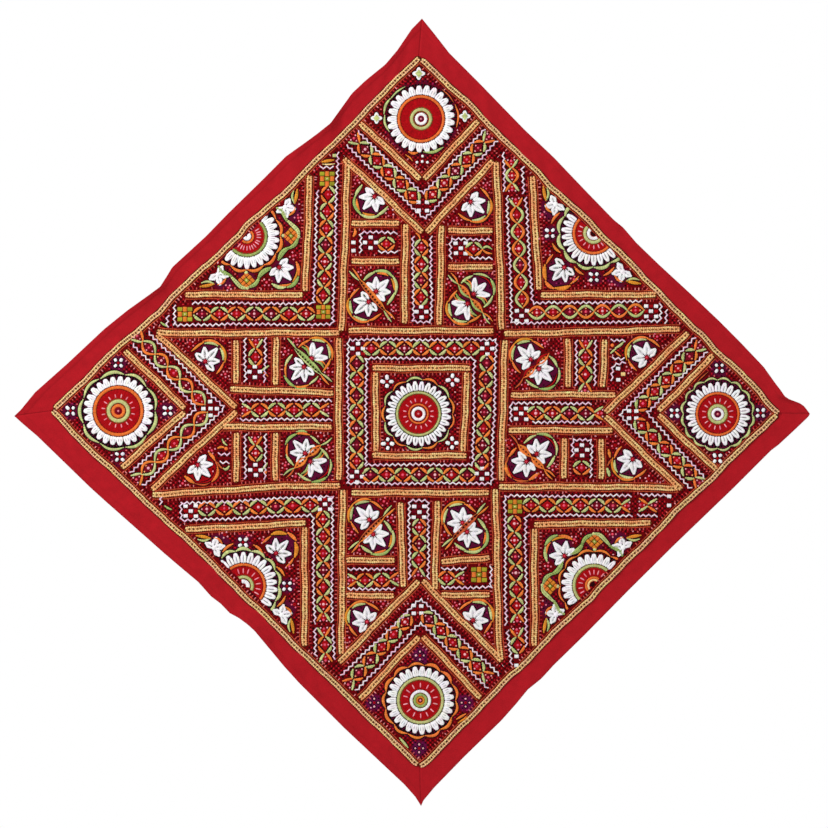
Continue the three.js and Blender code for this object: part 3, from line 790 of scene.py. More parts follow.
# White squares of a checker, in steps from its middle, and whether the rest is filled with red.
CHECKS = {
    "plus": (((-1, 0), (1, 0), (0, 1), (0, -1)), True),
    "five": (((-1, -1), (1, -1), (-1, 1), (1, 1), (0, 0)), True),
    "four": (((-1, -1), (1, -1), (-1, 1), (1, 1)), False),
    "star": (((-1, 0), (1, 0), (0, 1), (0, -1), (0, 0)), True),
    "pair": (((0, -1), (0, 1)), False),
}
THREE_BY_THREE = [(i, j) for i in (-1, 0, 1) for j in (-1, 0, 1)]


def checker(x, z, kind, step):
    """White square blocks in a pattern, some with red ones between them."""
    white, filled = CHECKS[kind]
    for i, j in THREE_BY_THREE:
        if filled and (i, j) not in white:
            block(x + i * step, z + j * step, 4.9, "red" if rng.random() < 0.4 else "wine")
    for i, j in white:
        block(x + i * step + rng.uniform(-0.4, 0.4), z + j * step + rng.uniform(-0.4, 0.4), 5.4, "white",
              rng.uniform(-5, 5))


def plaid(x, z, size, turn=0, other="olive"):
    """Squares in two colours, three by three, with a pale knot in the middle."""
    step = size / 3
    sides = np.stack([polar((0, 0), turn, step), polar((0, 0), turn + 90, step)])
    for i, j in THREE_BY_THREE:
        mid = (x, z) + np.array([[i, j]]) @ sides
        odd = (i + j) % 2
        if odd or i and other == "ochre":
            colour = yarn("ochre", 0.9)
        else:
            colour = yarn("olive") * rng.uniform(0.9, 1.5)
        block(*mid[0], step * 0.92, colour, turn + 90 * odd)
    dot((x, z), 1.4, "green", 0.8, 0.9)


def knots(x, z, gap, radius, colour, turn, stretch=1.25):
    """Four satin knots around a red point."""
    for angle in turn + 90 * np.arange(4):
        dot(polar((x, z), angle, gap), radius * rng.uniform(0.86, 1.05), colour, 0.9, 0.5, fills,
            angle + rng.uniform(-25, 25), stretch * rng.uniform(0.85, 1.15))
        # a black lens wider than each knot: its outline, widened into painted shade around it
        reach = radius + 1.6
        outlines_and_shade.spokes((x, z), angle, gap - reach, gap + reach, 2 * radius + 3, 0.3, "black", 0.05, "lens")
    disc((x, z), 2.0, "red")


def bookmark():
    """How many blocks of stitches each thread has so far."""
    return {thread: {shape: len(blocks) for shape, blocks in thread.sewn.items()} for thread in Thread.every}


def trim(depth, marks):
    """Takes out the stitches sewn since the marks were made that lie behind a line."""
    for thread in Thread.every:
        for shape, blocks in thread.sewn.items():
            for i in range(marks[thread].get(shape, 0), len(blocks)):
                s = blocks[i]
                a, b = depth(s[:, 0:2]), depth(s[:, 2:4])
                blocks[i] = s[(a + b > 0) & (np.minimum(a, b) > -3)]


DARKER = {"green": "leaf", "orange": "brown", "white": "deep", "sage": "leaf"}
# A medallion's petals by style: share of the room at their tips, length of the rounded end.
PETALS = {"fat": (0.42, 4.0), "loop": (0.36, 3.6), "pointed": (0.46, 4.5)}


def medallion_petal(c, angle, r0, r1, base, tip, style, slot):
    """A white petal from the inner radius to the outer one; base and tip are its room at both."""
    out = heading(angle)
    top = r1 + rng.uniform(-0.7, 0.7)
    share, drop = PETALS[style]
    wide = base * 0.54 + tip * share

    def at(r, off):
        return np.array(c) + out * r + left_of(out) * off

    def fill(a, b, width, level):
        petals.sew(a, b, width, 0.8, "white", level, "bead", 0.03)

    def vein(a, b, width, height, shade, level, vary):
        petals.sew(a, b, width, height, TINT["grey"] * shade, level, "tick", vary)

    fill(at(r0 - 0.6, 0), at(top, 0), wide * 0.5, 0.5)
    for k in (-1, 1):
        fill(at(r0 - 0.6, k * base * 0.28), at(top - drop, k * wide * 0.29), wide * 0.46, 0.45)
        fill(at(top - drop - 3, k * wide * 0.30), at(top - 0.4, k * wide * 0.07), wide * 0.40, 0.5)
    if style == "loop":
        vein(at(r0 + 0.6, 0), at(top - 3.4, 0), wide * 0.19, 0.3, slot, 1.15, 0.3)
    else:
        for k in (-1, 1):
            vein(at(r0 + 2.5, k * base * 0.2), at(top - 4, k * wide * 0.22), 0.7, 0.4, 0.7, 1.1, 0.15)


def medallion(c, count, reach, rings, rays=None, scallops=None, style="fat", slot=0.5):
    """Ringed disc with white petals around it. The petals keep their width, so dark wedges open
    between their tips. Rings are given by two radii and a colour, rays by number and two radii, and
    scallops by radius, number, colours in turn and width; slot is the shade inside looped petals."""
    r0, r1 = reach
    patch(c, r1 + 5)
    red = max(outer for _, outer, _ in rings)
    for a in np.arange(0.3, red - 1, 3.4):
        ring(c, a, min(a + 4.4, red), "red", 1.9, 0.5, 0.05, 0.10, 1.4)
    for a in np.arange(r0 - 1, r1 + 0.5, 3.2):
        hoop(c, a + 1.6, 4.2, "black", 0.0)
    for a, b, colour in rings:
        ring(c, a, b, colour, 1.45, 0.9, 0.5)
        dark = DARKER.get(colour)
        if dark and b > 5:
            hoop(c, b + 0.7, 1.0, dark, 0.45)
            hoop(c, a - 0.7, 1.0, dark, 0.45)
        if dark and b > 20:
            edging(c, b + 0.4, dark)
    if rays:
        n, a, b = rays
        angle = clock(n) + rng.uniform(-2, 2, n)
        fills.spokes(c, angle, a, b, 1.7, 0.7, blend("pink", "pale", rng.uniform(0.4, 1, n)), 0.6)
    for angle in clock(count):
        medallion_petal(c, angle + rng.uniform(-0.5, 0.5), r0, r1, 2 * np.pi * r0 / count,
                        2 * np.pi * r1 / count, style, slot)
    if scallops:
        radius, n, colours, width = scallops
        for i in range(n):
            s = np.linspace(360 * (i + 0.04) / n, 360 * (i + 0.96) / n, 4)
            r = radius + 1.6 * np.array([-0.5, 1, 1, -0.5]) + rng.uniform(-0.4, 0.4, 4)
            leaf(polar(c, s, r), width * rng.uniform(0.85, 1.15), colours[i % len(colours)])


def mini_flower(x, z, size):
    """Small four-leaf diamond in green and white."""
    for angle in (0, 90, 180, 270):
        petal(polar((x, z), angle, 1), polar((x, z), angle, size), size * 0.8)
    lozenge((x, z), heading(0), heading(90), size * 0.6, size * 0.6, blend("green", "sage", 0.3), 1.1)


# -------------------- bands, zigzags and chains
CORNERS = "x0 z0 x1 z1 x2 z2 x3 z3 x4 z4"


def points_of(row):
    """The points of a table's line, of which it may have fewer than the columns allow."""
    return [(row[f"x{k}"], row[f"z{k}"]) for k in range(5) if f"x{k}" in row]


def loose_leaves(*lines):
    """Single leaves, each given by its width, its colour and its points."""
    for row in rows("width colour " + CORNERS, *lines):
        leaf(points_of(row), row["width"], row["colour"])


for seed, side in enumerate(SIDES.values(), 1):
    line = seam(side, 0, side_length(side))(np.linspace(0.006, 1.0, 160))
    band(line, ("blush", "cream"), seed, **FRAME_BAND)
for seed, row in enumerate(rows(
        CORNERS,
        # middle square, outside and inside
        (-94, 110, 99, 110), (-90, -106.5, 93, -106.5), (-107.5, -89, -107.5, 100), (109.5, -90, 114.5, 97),
        (-62, 60, 68, 60), (-62, -57, 63, -57), (-58, -51, -58, 54), (59, -51, 64, 54),
        # top arm
        (-96, 338, -98, 250, -104, 110), (103, 335, 107, 230, 110.5, 112), (-18, 252, -20, 120),
        (30, 250, 27, 118), (-90, 254, -27, 253), (-90, 203, -27, 203), (39, 244, 98, 244),
        (39, 195.5, 98, 195.5), (4.2, 241.9, -100, 340), (9.9, 241.8, 98, 337), (1.2, 312.9, -79, 387),
        (6.8, 312.9, 79, 390),
        # left arm
        (-350, 109, -325, 106, -107, 107.5), (-356, -109, -330, -108, -200, -99, -106, -96.5),
        (-252, 32, -115, 27), (-262, -18.5, -117, -18.5), (-245, 40, -245, 97), (-191.5, 38, -191.5, 101),
        (-244.5, -27, -244.5, -92), (-192, -27, -192, -90), (-244.9, 7.9, -350, 105),
        (-244.9, 2.1, -357, -102), (-313.6, 6.4, -393, 83), (-314.4, 1.2, -397, -73),
        # right arm
        (114, 105.5, 240, 109, 348, 112), (107, -98.5, 240, -98.5, 345, -100), (123, 24.5, 262, 24.5),
        (120, -23, 258, -23), (199, 35, 199, 99), (245, 35, 248, 98), (194, -34, 194, -87),
        (243, -35, 243, -88), (248.9, 0.9, 359, 107), (248.9, -4.9, 350, -102), (320, 3, 393, 77),
        (320, -3, 397, -76),
        # bottom arm
        (-102, -103, -104, -322), (102, -102, 106, -300, 110, -330), (-24.5, -120, -23, -200, -21, -232),
        (24, -118, 21, -235), (-97, -197, -33, -197), (30, -199, 94, -193), (-97, -244, -34, -244),
        (30, -243, 94, -243), (-1.1, -224.4, -107, -333), (4.5, -224.4, 110, -331),
        (-0.9, -298.9, -79, -382), (4.9, -298.9, 82, -380),
        # side triangles
        (-146, 317, -152, 163), (-312, 158, -156, 158), (151, 316, 160, 165), (163, 158, 316, 158),
        (-312, -156, -152, -147), (-153, -153, -153, -311), (154, -149, 309, -146.5),
        (154, -155, 154, -311)), 5):
    band(points_of(row), ("cream", "peach") if seed % 3 else ("peach", "cream"), seed, **PANEL_BAND)
for seed, row in enumerate(rows(
        CORNERS,
        (-95, -94, -95, 98, 103, 98, 97, -94, -95, -94), (-71, -69, -71, 73, 74, 73, 72, -69, -71, -69),
        # top
        (-8, 236, -8, 122, 16, 122, 16, 236), (-30, 241, -78, 241, -78, 214), (-54, 215, -29, 215),
        (96, 232, 42, 232, 42, 206), (70, 207, 97, 207), (-82, 376, 5, 293, 87, 379),
        (-97, 357, 7, 259, 104, 364),
        # left
        (-239, 17, -117, 17), (-239, -8.5, -117, -8.5), (-232.5, 100, -232.5, 42), (-206, 42, -206, 100),
        (-232, -28, -232, -88), (-206, -28, -206, -88), (-383, 92, -297, 7, -385, -80),
        (-362, 108, -260, 7, -369, -97), (-268, -55, -253, -55), (-266, -66, -254, -66),
        # right
        (230, 13, 122, 13, 122, -11), (152, -12.5, 240, -12.5), (210, 37, 210, 97), (235, 37, 235, 97),
        (205, -58, 205, -36, 230, -36, 230, -86), (368, 101, 268, -2, 363, -101),
        (384, 82, 304, 0, 381, -86), (257, 97, 275, 97), (258, 73, 274, 72), (275, 68, 259, 64, 258, 44),
        # bottom
        (-13, -222, -13, -117, 12, -117, 12, -222), (-95, -209, -33, -209), (-95, -235, -33, -235),
        (30, -208, 62, -208), (30, -233, 96, -233, 96, -205), (-104, -351, 2, -248, 107, -350),
        (-84, -371, 2, -280, 91, -368),
        # side triangles
        (-136, 297, -141, 146, -303, 147), (-109, 348, -115, 118.6, -326, 118), (-132, 328, -115, 328),
        (-327, 144, -327, 118), (-336, 130, -337, 115), (112, 348, 114, 297),
        (117.5, 290, 124, 120, 322, 122.5, 323, 146), (138.5, 329, 139.5, 293),
        (142, 288, 151.5, 146.5, 297, 149), (330, 138, 330, 120),
        (-318, -121, -318, -144, -142, -136, -140, -281), (-139, -288, -138, -325),
        (-318, -121, -116, -111, -116.5, -280), (-116, -284, -114, -329), (-345, -122, -345, -112),
        (284, -137, 142, -137, 143, -312), (318, -137, 292, -137), (283, -110.5, 114.5, -111, 116, -283),
        (118, -290, 123, -336), (330, -109.5, 296, -109.5))):
    zigzag(points_of(row), seed)
for row in rows(
        "x0 z0 x1 z1 cells start cut whole",
        (-64, 86.5, 69.5, 86.5, 7, -1), (-83.5, 66.5, -83.5, -64, 7, 1), (90, 67, 83.5, -65, 7, -1),
        (-65, -82.5, 64.5, -82.5, 7, 1), (3, 221, 2.5, 155, 4, -1), (-9, 290.5, -88, 368, 6, -1, "last"),
        (18, 292, 94, 370, 6, -1, "last"), (-236, 4, -121, 4, 6, 1, "both"),
        (-218.5, 98, -218.5, 75, 2, 1, "first"), (-219, -32, -218.5, -53.5, 2, -1, "first"),
        (-295, 20, -378, 104, 6, -1, "last", True), (-292, -7.7, -379, -90, 6, 1, "last", True),
        (156, -0.5, 245, -0.5, 5, 1, "last"), (222.5, 97, 221.5, 29, 4, 1, "both"),
        (299, 13, 377, 91, 6, 1, "last"), (297, -17, 376, -94, 6, -1, "last"),
        (0, -152.5, -1, -218, 4, -1, "last"), (-94.5, -224, -28, -222, 4, 1, "both"),
        (37, -220.5, 59, -221, 2, -1, "last"), (-19, -279, -96, -364, 6, -1, "last"),
        (13, -275, 93, -354, 6, 1, "last"), (-122, 292, -128, 157, 7, 1), (-290, 132.5, -151, 132.5, 7, -1),
        (129, 287, 137.5, 152.5, 7, -1, "first", True), (124.5, 297, 123, 338, 3, -1, "both", True),
        (157, 134, 289, 137, 7, -1, "", True), (-283.5, -128.5, -146, -123, 7, -1),
        (-128.5, -142, -128, -278, 7, 1, "last"), (-127, -287, -125, -332, 3, -1, "both"),
        (149.5, -123, 281, -124, 7, 1, "last"), (294, -123, 317, -123.5, 2, -1, "both"),
        (127, -148, 131, -279, 7, -1, "last"), (130, -288, 132, -310, 2, 1, "first"),
        (-44, 226, -44, 226, 1), (73, 219, 73, 219, 1), (217, -73, 217, -73, 1)):
    chain(**row)
for row in rows(
        "x z kind step",
        (-82, 86, "plus", 7), (91, 86, "plus", 7), (-83, -85, "plus", 7), (84, -81, "plus", 7),
        (5, 276, "four", 5.5), (3, 135, "plus", 6.7), (-65, 228, "plus", 7), (55.5, 220, "five", 6.8),
        (-88, 222.5, "pair", 5.5), (-219.5, 55, "plus", 7), (-218.5, -76, "plus", 7), (-279, 6, "star", 9),
        (136, -1, "five", 7), (217.5, -49.5, "plus", 7), (285.5, -2, "four", 4.8), (0, -132, "five", 7),
        (-2, -262.5, "four", 5), (137, 130, "five", 6.8), (310, 136, "five", 6.8),
        (-126, -122, "five", 6.8), (-305, -131, "five", 6.8), (266, 52, "pair", 7.5),
        (130, -331, "pair", 6), (334, -117, "pair", 6)):
    checker(**row)
for row in rows("x z size",
            (-128, 135, 19), (-313, 132, 20), (-123, 313, 20), (128, -125, 19), (80, -216, 21)):
    plaid(**row)
block(272.5, 52, 5.6, "cream")
block(-113, 344, 5, "green")

# -------------------- medallions
MEDALLIONS = (
    dict(c=(-1, -1), count=28, reach=(31, 43.5), rays=(16, 16, 21), style="loop", slot=0.16,
         rings=[(27, 30, "green"), (11.5, 13.7, "orange"), (5.5, 9.6, "white"), (0.3, 4, "red")],
         scallops=(46.5, 13, ("orange", "green"), 3.0)),
    dict(c=(2.5, 393), count=25, reach=(32, 45.5),
         rings=[(28, 31.7, "orange"), (10.6, 14.8, "green"), (4.2, 8.5, "white"), (0.3, 3.8, "plum")]),
    dict(c=(-402, 2.7), count=27, reach=(34.2, 47), rays=(16, 17.5, 23),
         rings=[(29.5, 33.8, "orange"), (10.5, 15.7, "green"), (5.2, 9.4, "orange"), (0.3, 4.6, "wine")],
         scallops=(50.3, 9, ("green",), 4.4)),
    dict(c=(398.8, -1.4), count=26, reach=(29.6, 43), rays=(16, 15.5, 21.5), style="loop",
         rings=[(26.3, 29.3, "orange"), (8.9, 13.3, "green"), (4.6, 8.7, "white"), (2.3, 4.4, "plum")],
         scallops=(46.8, 16, ("green",), 3.4)),
    dict(c=(1.6, -384), count=27, reach=(32, 45.5), rays=(14, 17, 24),
         rings=[(27.6, 31.4, "green"), (10.2, 14.4, "white"), (5.8, 9.6, "sage"), (3.2, 5.6, "ochre"),
                (0.3, 3, "wine")],
         scallops=(48.2, 13, ("orange",), 4.2)))
for m in MEDALLIONS:
    medallion(**m)
for m in MEDALLIONS:
    dot(m["c"], 1.5, blend("pink", "pale", 0.5), 0.9, 1.3)
loose_leaves(
    (2.4, "green", -19, 436, -30, 429, -39, 419), (3.6, "green", -39, 420, -45, 411, -47, 400),
    (3.2, "green", -46, 398, -46, 387, -40, 376), (2.8, "orange", 48, 412, 52.5, 398, 50, 382),
    (4.0, "orange", -14, 349, -8, 346.5, -2, 348), (4.0, "sage", 6, 349, 19, 348.5, 32, 355),
    (1.8, "rust", 31, 432, 40, 424, 46, 415), (2.4, "orange", -18, 345, -12, 341, -9, 337),
    (3.4, "orange", 50, -409, 56, -405.5, 62, -402), (2.8, "ochre", 52, -414, 58, -410, 65, -406),
    (3.6, "green", -26, -434, -20, -441, -15, -447), (1.8, "rust", 386, 55, 378, 48, 372, 42))

# -------------------- side triangles
# Half medallion at the long side; the rest is laid out twice, mirrored, along the axis to the inner
# corner. The medallion is kept as far as room behind the line through its middle.
for row in (
        dict(c=(-230, 236), axis=-45, kind="vine", room=0.5, count=26, reach=(27.4, 43.5),
             rings=[(23.6, 27.2, "sage"), (6.6, 9.6, "orange"), (0.3, 6, "white")],
             rays=(26, 12.5, 19.5), style="pointed", scallops=(45.5, 12, ("orange",), 4.0)),
        dict(c=(233, 240), axis=-135, kind="knots", room=0, count=26, reach=(28.4, 43.2),
             rings=[(24.6, 28.2, "orange"), (9.6, 14, "green"), (4.6, 9.2, "white"), (0.3, 4.2, "deep")],
             rays=(18, 15.5, 21.5), style="loop", scallops=(46, 12, ("green",), 5.0)),
        dict(c=(233.5, -230.5), axis=135, kind="vine", room=-1.5, count=26, reach=(29, 43.5),
             rings=[(24.8, 28.6, "green"), (9.2, 12.2, "orange"), (6.2, 9, "cream"), (0.3, 5.8, "deep")],
             rays=(18, 14.5, 21.5), style="pointed", scallops=(45.8, 12, ("orange",), 3.4)),
        dict(c=(-235, -231), axis=45, kind="knots", room=-3.5, count=26, reach=(30.5, 46),
             rings=[(26.8, 30.3, "orange"), (10, 14, "green"), (3.6, 9, "white"), (0.3, 3.2, "wine")],
             rays=(18, 16.5, 24), style="loop", scallops=(48.2, 14, ("green",), 4.4))):
    axis, kind, room = row.pop("axis"), row.pop("kind"), row.pop("room")
    centre = np.array(row["c"], float)
    along = heading(axis)
    marks = bookmark()
    medallion(**row)
    trim(lambda p: (p - centre) @ along + room, marks)
    iz, ix = near(centre, row["reach"][1] + 6)
    behind = (np.stack([ix, iz], -1) - REACH - centre) @ along < -room
    ground[iz[behind], ix[behind]] = TINT["maroon"]
    for flip in (1, -1):
        across = heading(axis + 90) * flip

        def spot(a, b):
            return centre + along * a + across * b

        def vine(width, colour, *spots, vein=None):
            leaf([spot(a, b) for a, b in spots], width, colour, vein)

        if kind == "vine":
            vine(6.6, "sage", (1, 55), (11, 57), (23, 52), vein="leaf")
            vine(5.6, "green", (21, 53), (33, 53.5), (44, 53), (51, 45), vein="leaf")
            vine(5.4, "sage", (49, 47), (53, 38), (50.5, 27), vein="leaf")
            vine(6.8, "sage", (50, 29), (48.5, 19), (52, 7), vein="leaf")
            patch(spot(42, 42.5), 12)
            plaid(*spot(41, 42), 17, axis, "ochre")
            dot([spot(33.5, 35), spot(49, 48.5)], 2.4, "green", 0.9, 0.5)
        else:
            vine(3.8, "orange", (49.5, 13.5), (50.5, 21), (48.5, 29))
            vine(3.8, "orange", (13, 51.5), (22, 52), (30, 49.5))
            patch(spot(41, 41.5), 10)
            knots(*spot(41, 41.5), 5.6, 2.5, "white", 45)
            spray(*spot(53, 43), 3, 4.6)
        flower(*spot(8.5, 63.5), axis, 4, 210, 15.0, 9.8, heart=False)
        vine(3.2, "green", (1, 87), (5, 80), (13, 76))
        vine(4.6, "ochre", (3, 92), (9, 84), (14, 76), vein="olive")
        vine(3.6, "orange", (18, 73), (21, 67), (20, 60))
        spray(*spot(31, 66), 4, 4.4)
        spray(*spot(62, 25), 4, 4.4)

# -------------------- flowers, each with the rim around it
for f in rows(
        "x z axis rim flip bold under",
        # squares of the top and left arms
        (-57.5, 162.5, 45, "leafy", -1), (-67.5, 148.5, 220, "warm", 1, True),
        (-154, 61.5, 228, "mixed", 1, True), (-152.4, -53.7, 132, "mixed", -1, True),
        # squares of the right arm
        (149, 71.7, 136, "warm", 1), (160, 58.7, -45, "plain", 1), (157, -54.6, 45, "plain", -1),
        (143.2, -65, 223, "flame", 1),
        # squares of the bottom arm
        (-66.7, -142.6, 136, "warm", -1), (-61.4, -162, -44, "leafy", 1), (57.8, -146.6, 134, "warm", 1),
        (64, -158.8, -43, "leafy", -1),
        # triangles beside the corner squares
        (-59.8, 289.2, 229, "leafy", 1), (68.7, 282, -40, "warm", -1), (-285.8, 69, 47, "warm", 1, True),
        (-296, -69.5, -45, "flame", -1, False, "red"), (304.2, 74.2, 137, "warm", -1),
        (285.2, -61.8, 226, "warm", 1), (-69.8, -279, 140, "warm", -1), (72, -277, 46, "warm", 1),
        # inner corners of the side triangles
        (-187, 194.5, -48, "corner", 1), (193.8, 194.5, 230, "gold", 1, True),
        (-191.2, -187.4, 46, "gold", -1, True), (194.1, -190.9, 131, "corner", -1)):
    flower(f["x"], f["z"], f["axis"], bold=f.get("bold", False), under=f.get("under", "plum"))
    rim(f["x"], f["z"], f["axis"], f["rim"], f["flip"])
for f in rows("x z axis fan width rim flip",
            (73, 159, 42, 92, 9.6, "plain", 1), (64.5, 146, 223, 92, 11, "warm", 1),
            (-143.4, 73, 46, 84, 9.6, "warm", -1), (-145.3, -65, -42, 94, 10, "plain", 1)):
    c = (f["x"], f["z"])
    flower(*c, f["axis"], 3, f["fan"], 21.5, f["width"], 1.0)
    rim(*c, f["axis"], f["rim"], f["flip"])
    for sign in (1, -1):
        turn = f["axis"] + sign * 84
        for width, colour, vein, sweep in (
                (3.6, "sage", "olive", ((0, 5), (12, 13), (0, 20))),
                (2.2, "orange", None, ((16, 9), (22, 15), (10, 21)))):
            leaf([polar(c, turn - sign * back, r) for back, r in sweep], width, colour, vein)

# diagonals of the small squares
TAILS = (("orange", "green"), ("orange", "green"))
for draw, a, b, edges, tails in (
        (stripe, (-80, 178), (-46, 137), ("orange", "rust"), TAILS),
        (eye, (52, 172.5), (85, 134), ("orange", "sage"), TAILS),
        (stripe, (-165.4, 85.6), (-131, 52), ("sage", "green"), (("green",), ("green", "orange"))),
        (eye, (-131.5, -43), (-166.5, -73.5), ("orange", "orange"), (("green",), ("rust", "green"))),
        (eye, (173.5, 80), (139, 47), ("orange", "red"), ((), ("rust",))),
        (eye, (132, -42), (167, -75), ("orange", "orange"), (("rust",), ("orange", "orange"))),
        (stripe, (-47, -138), (-80, -172), ("orange", "rust"), TAILS),
        (stripe, (78, -135), (45, -168), ("rust", "rust"), TAILS)):
    draw(a, b, edges, tails)

for x, z, size in ((-57, 394, 7.7), (61, 396.5, 7.7), (-0.5, 453.5, 8.6)):
    mini_flower(x, z, size)
for x, z in ((-43, 42), (44.5, 44), (-42, -41), (44, -40)):
    knots(x, z, 5.8, 2.7, "white", 90)
for x, z in ((-402, 67), (-336, 3), (-400, -58.5), (-466, 3),
             (401, 60), (341, 0), (398.5, -60.5), (456, 0.2)):
    patch((x, z), 12)
    knots(x, z, 5.4, 2.4, "white", 45)
for x, z in ((1, -324), (-60, -387), (62, -387), (0, -448)):
    patch((x, z), 11, blend("violet", "plum", 0.45))
    knots(x, z, 5.2, 1.5, "pale", 90, 1.0)
dot([(4.5, 343.3), (-3, 335), (4, 336), (11, 335)], 1.9, "white", 0.9, 0.5)

# pink knots at both ends of the squares' diagonals and in the triangles' corners
for row in rows(
        "x z spots",
        (-77, 189, 5), (-42, 129, 5), (-90, 167, 3), (-34, 141, 4), (40, 174, 4), (56, 186, 5),
        (88, 125, 4), (99, 139, 5), (-164, 96, 5), (-179, 82, 5), (-121, 55, 4), (-134, 42, 3),
        (-131, -31, 4), (-120, -46, 4), (-179, -70, 5), (-165, -85, 4), (168, 93, 5), (186, 80, 4),
        (125, 57, 4), (142, 36, 5), (120, -40, 4), (178, -71, 5), (160, -84, 5), (-47, -118, 4),
        (-37, -140, 5), (-90, -159, 4), (-80, -183, 5), (70, -119, 5), (89, -140, 5), (34, -163, 4),
        (50, -183, 5), (-82, 311, 5), (-39, 268, 5), (89, 304, 5), (51, 257, 4), (-306, 93, 5),
        (-259, 52, 5), (-277, -50, 4), (-316, -94, 4), (318, 102, 3), (280, 57, 5), (262, -43, 4),
        (306, -88, 4), (-48, -255, 4), (-96, -303, 4), (50, -257, 4), (92, -295, 4)):
    spray(**row)

# loose pieces in the mid strips, left from earlier patches
loose_leaves(
    (4.6, "orange", -86, 246, -85, 241, -88, 236), (2.8, "green", -263, -35, -261, -40, -257, -43),
    (3.6, "orange", -269, -47, -265, -45, -261, -46), (3.6, "green", -262, -74, -258, -76, -254, -71),
    (2.6, "rust", -269, -66, -266, -72, -261, -75), (3.6, "green", 262, 87, 268, 90, 273, 95),
    (3.0, "orange", 262, 82, 265, 79, 269, 76), (3.0, "green", 256, 80, 259, 83, 263, 86),
    (4.4, "orange", 253, -49, 254, -54, 255, -59), (3.2, "rust", 252, -70, 254, -66, 257, -62),
    (4.8, "green", 251, -74, 253, -79, 254, -84), (3.2, "green", 84, 219, 90, 223, 97, 219),
    (3.2, "orange", 84, 219, 90, 214, 97, 213), (4.5, "ochre", -130, 335.5, -122, 337, -114, 338),
    (2.2, "cream", -129, 332.5, -121, 332, -113, 333), (3.2, "green", -210, 57, -206, 60, -201, 63),
    (2.6, "rust", -208, 54, -205, 52, -202, 49), (3.2, "green", -209, -75, -206, -71, -203, -67),
    (3.0, "orange", -4, 240, 0, 237, 1, 233), (3.0, "sage", -345, 121, -341, 118, -337, 116),
    (3.0, "sage", -340, -124, -336, -127, -331, -129))
dot([(258, 90.5), (-258, -47.6), (-205.5, -79)], 2.4, "orange", 0.8, 0.5)


# -------------------- ground of running stitches
WIDTHS = (0, 1, 2.2, 4, 5.5, 7, 8.5, 10, 14)        # stitches are marked in groups of like width


def mark_taken(threads):
    """Marks the map cells under the stitches; wide ones have their ends farther in."""
    for s in (thread.rows_of(shape) for thread in threads for shape in thread.sewn):
        for t in (-0.5, -0.25, 0, 0.25, 0.5):
            for thin, wide in zip(WIDTHS, WIDTHS[1:]):
                pick = (s[:, 4] <= wide) & (s[:, 4] > thin)
                if pick.any():
                    inner = 0.5 + t * (0.55 if wide > 5.5 else 1)
                    middles = (s[:, :2] * (1 - inner) + s[:, 2:4] * inner)[pick]
                    taken[near(middles, wide / 2 + 0.1)] = True


def cell_of(c):
    """The map cell that each point lies in."""
    return np.rint(c[:, 1] + REACH).astype(int), np.rint(c[:, 0] + REACH).astype(int)


def free_at(c):
    """Whether the cloth at each point is embroidered ground with no stitches yet."""
    return inside[cell_of(c)] & ~taken[cell_of(c)]


def run_stitch(c, half, width, tone):
    """Running stitches around their middles, in the piece for their half of the cloth."""
    for piece, pick in ((running_a, c[:, 1] > 0), (running_b, c[:, 1] <= 0)):
        piece.sew((c - half)[pick], (c + half)[pick], width, 0.5, tone[pick], 0.0, "tick", 0.16)
    for t in (-0.7, 0, 0.7):
        taken[near(c + half * t, 1.0)] = True


mark_taken(Thread.every)
for p, n, s in FRINGE:
    free = free_at(p)
    across = free & (np.arange(len(p)) % 2 == 0)
    between = free & ~across
    if across.any():
        lit = rng.random(across.sum())[:, None]
        light = np.where(lit < 0.75, TINT["tick_mid"], TINT["tick_pale"])
        tone = np.where(lit < 0.4, TINT["tick_dark"], light)
        run_stitch(p[across], n[across] * rng.uniform(2.0, 2.8, (len(lit), 1)), 1.6, tone)
    if between.any():
        run_stitch(p[between], s[between] * 0.9, 2.0, np.tile(TINT["deep"] * 0.7, (between.sum(), 1)))

# dark dots and red stitches in turn, row by row
gx, gz = np.meshgrid(np.arange(-500, 500, 3.3), np.arange(-490, 490, 3.1))
dark = (np.add.outer(np.arange(gx.shape[0]), np.arange(gx.shape[1])) % 2 == 0).ravel()
c = np.stack([gx.ravel(), gz.ravel()], -1) + rng.uniform(-0.4, 0.4, (gx.size, 2))
free = free_at(c)
c, dark = c[free], dark[free]
tone = ground[cell_of(c)].copy()
bare = np.abs(tone - TINT["maroon"]).sum(1) < 1e-6
roll = rng.random(len(c))
upright = np.sin(c[:, 0] / 31.0 + 1.3 * np.sin(c[:, 1] / 47.0)) + np.sin(c[:, 1] / 27.0) > 0
angle = np.radians(np.where(upright, 90, 0) + rng.uniform(-16, 16, len(c)))
half = np.stack([np.cos(angle), np.sin(angle)], -1) * rng.uniform(1.3, 1.9, (len(c), 1))
for pick, above, colour in (
        (bare, 0, "scarlet"), (bare, 0.55, "crimson"), (bare, 0.86, "rose"), (~bare, 0.6, "berry"),
        (True, 0.96, "pale")):
    tone[~dark & pick & (roll > above)] = TINT[colour]
tone[dark] = TINT["deep"] * 0.4
run_stitch(c[~dark], half[~dark], 1.8, tone[~dark])
run_stitch(c[dark], half[dark] * 0.8, 2.8, tone[dark])

# thread ends on the back
for source, share in ((frame_bands, 0.2), (inner_bands, 0.2), (zigzags, 0.3), (petals, 0.12), (fills, 0.2),
                      (leaves, 0.2)):
    for shape in source.sewn:
        s = source.rows_of(shape)
        s = s[rng.random(len(s)) < share]
        ends = s[:, 2:4] + rng.uniform(-0.6, 0.6, (len(s), 2))
        reverse.sew(s[:, :2], ends, 1.0, 0.35, s[:, 7:], 0.0, "tick", 0.1)


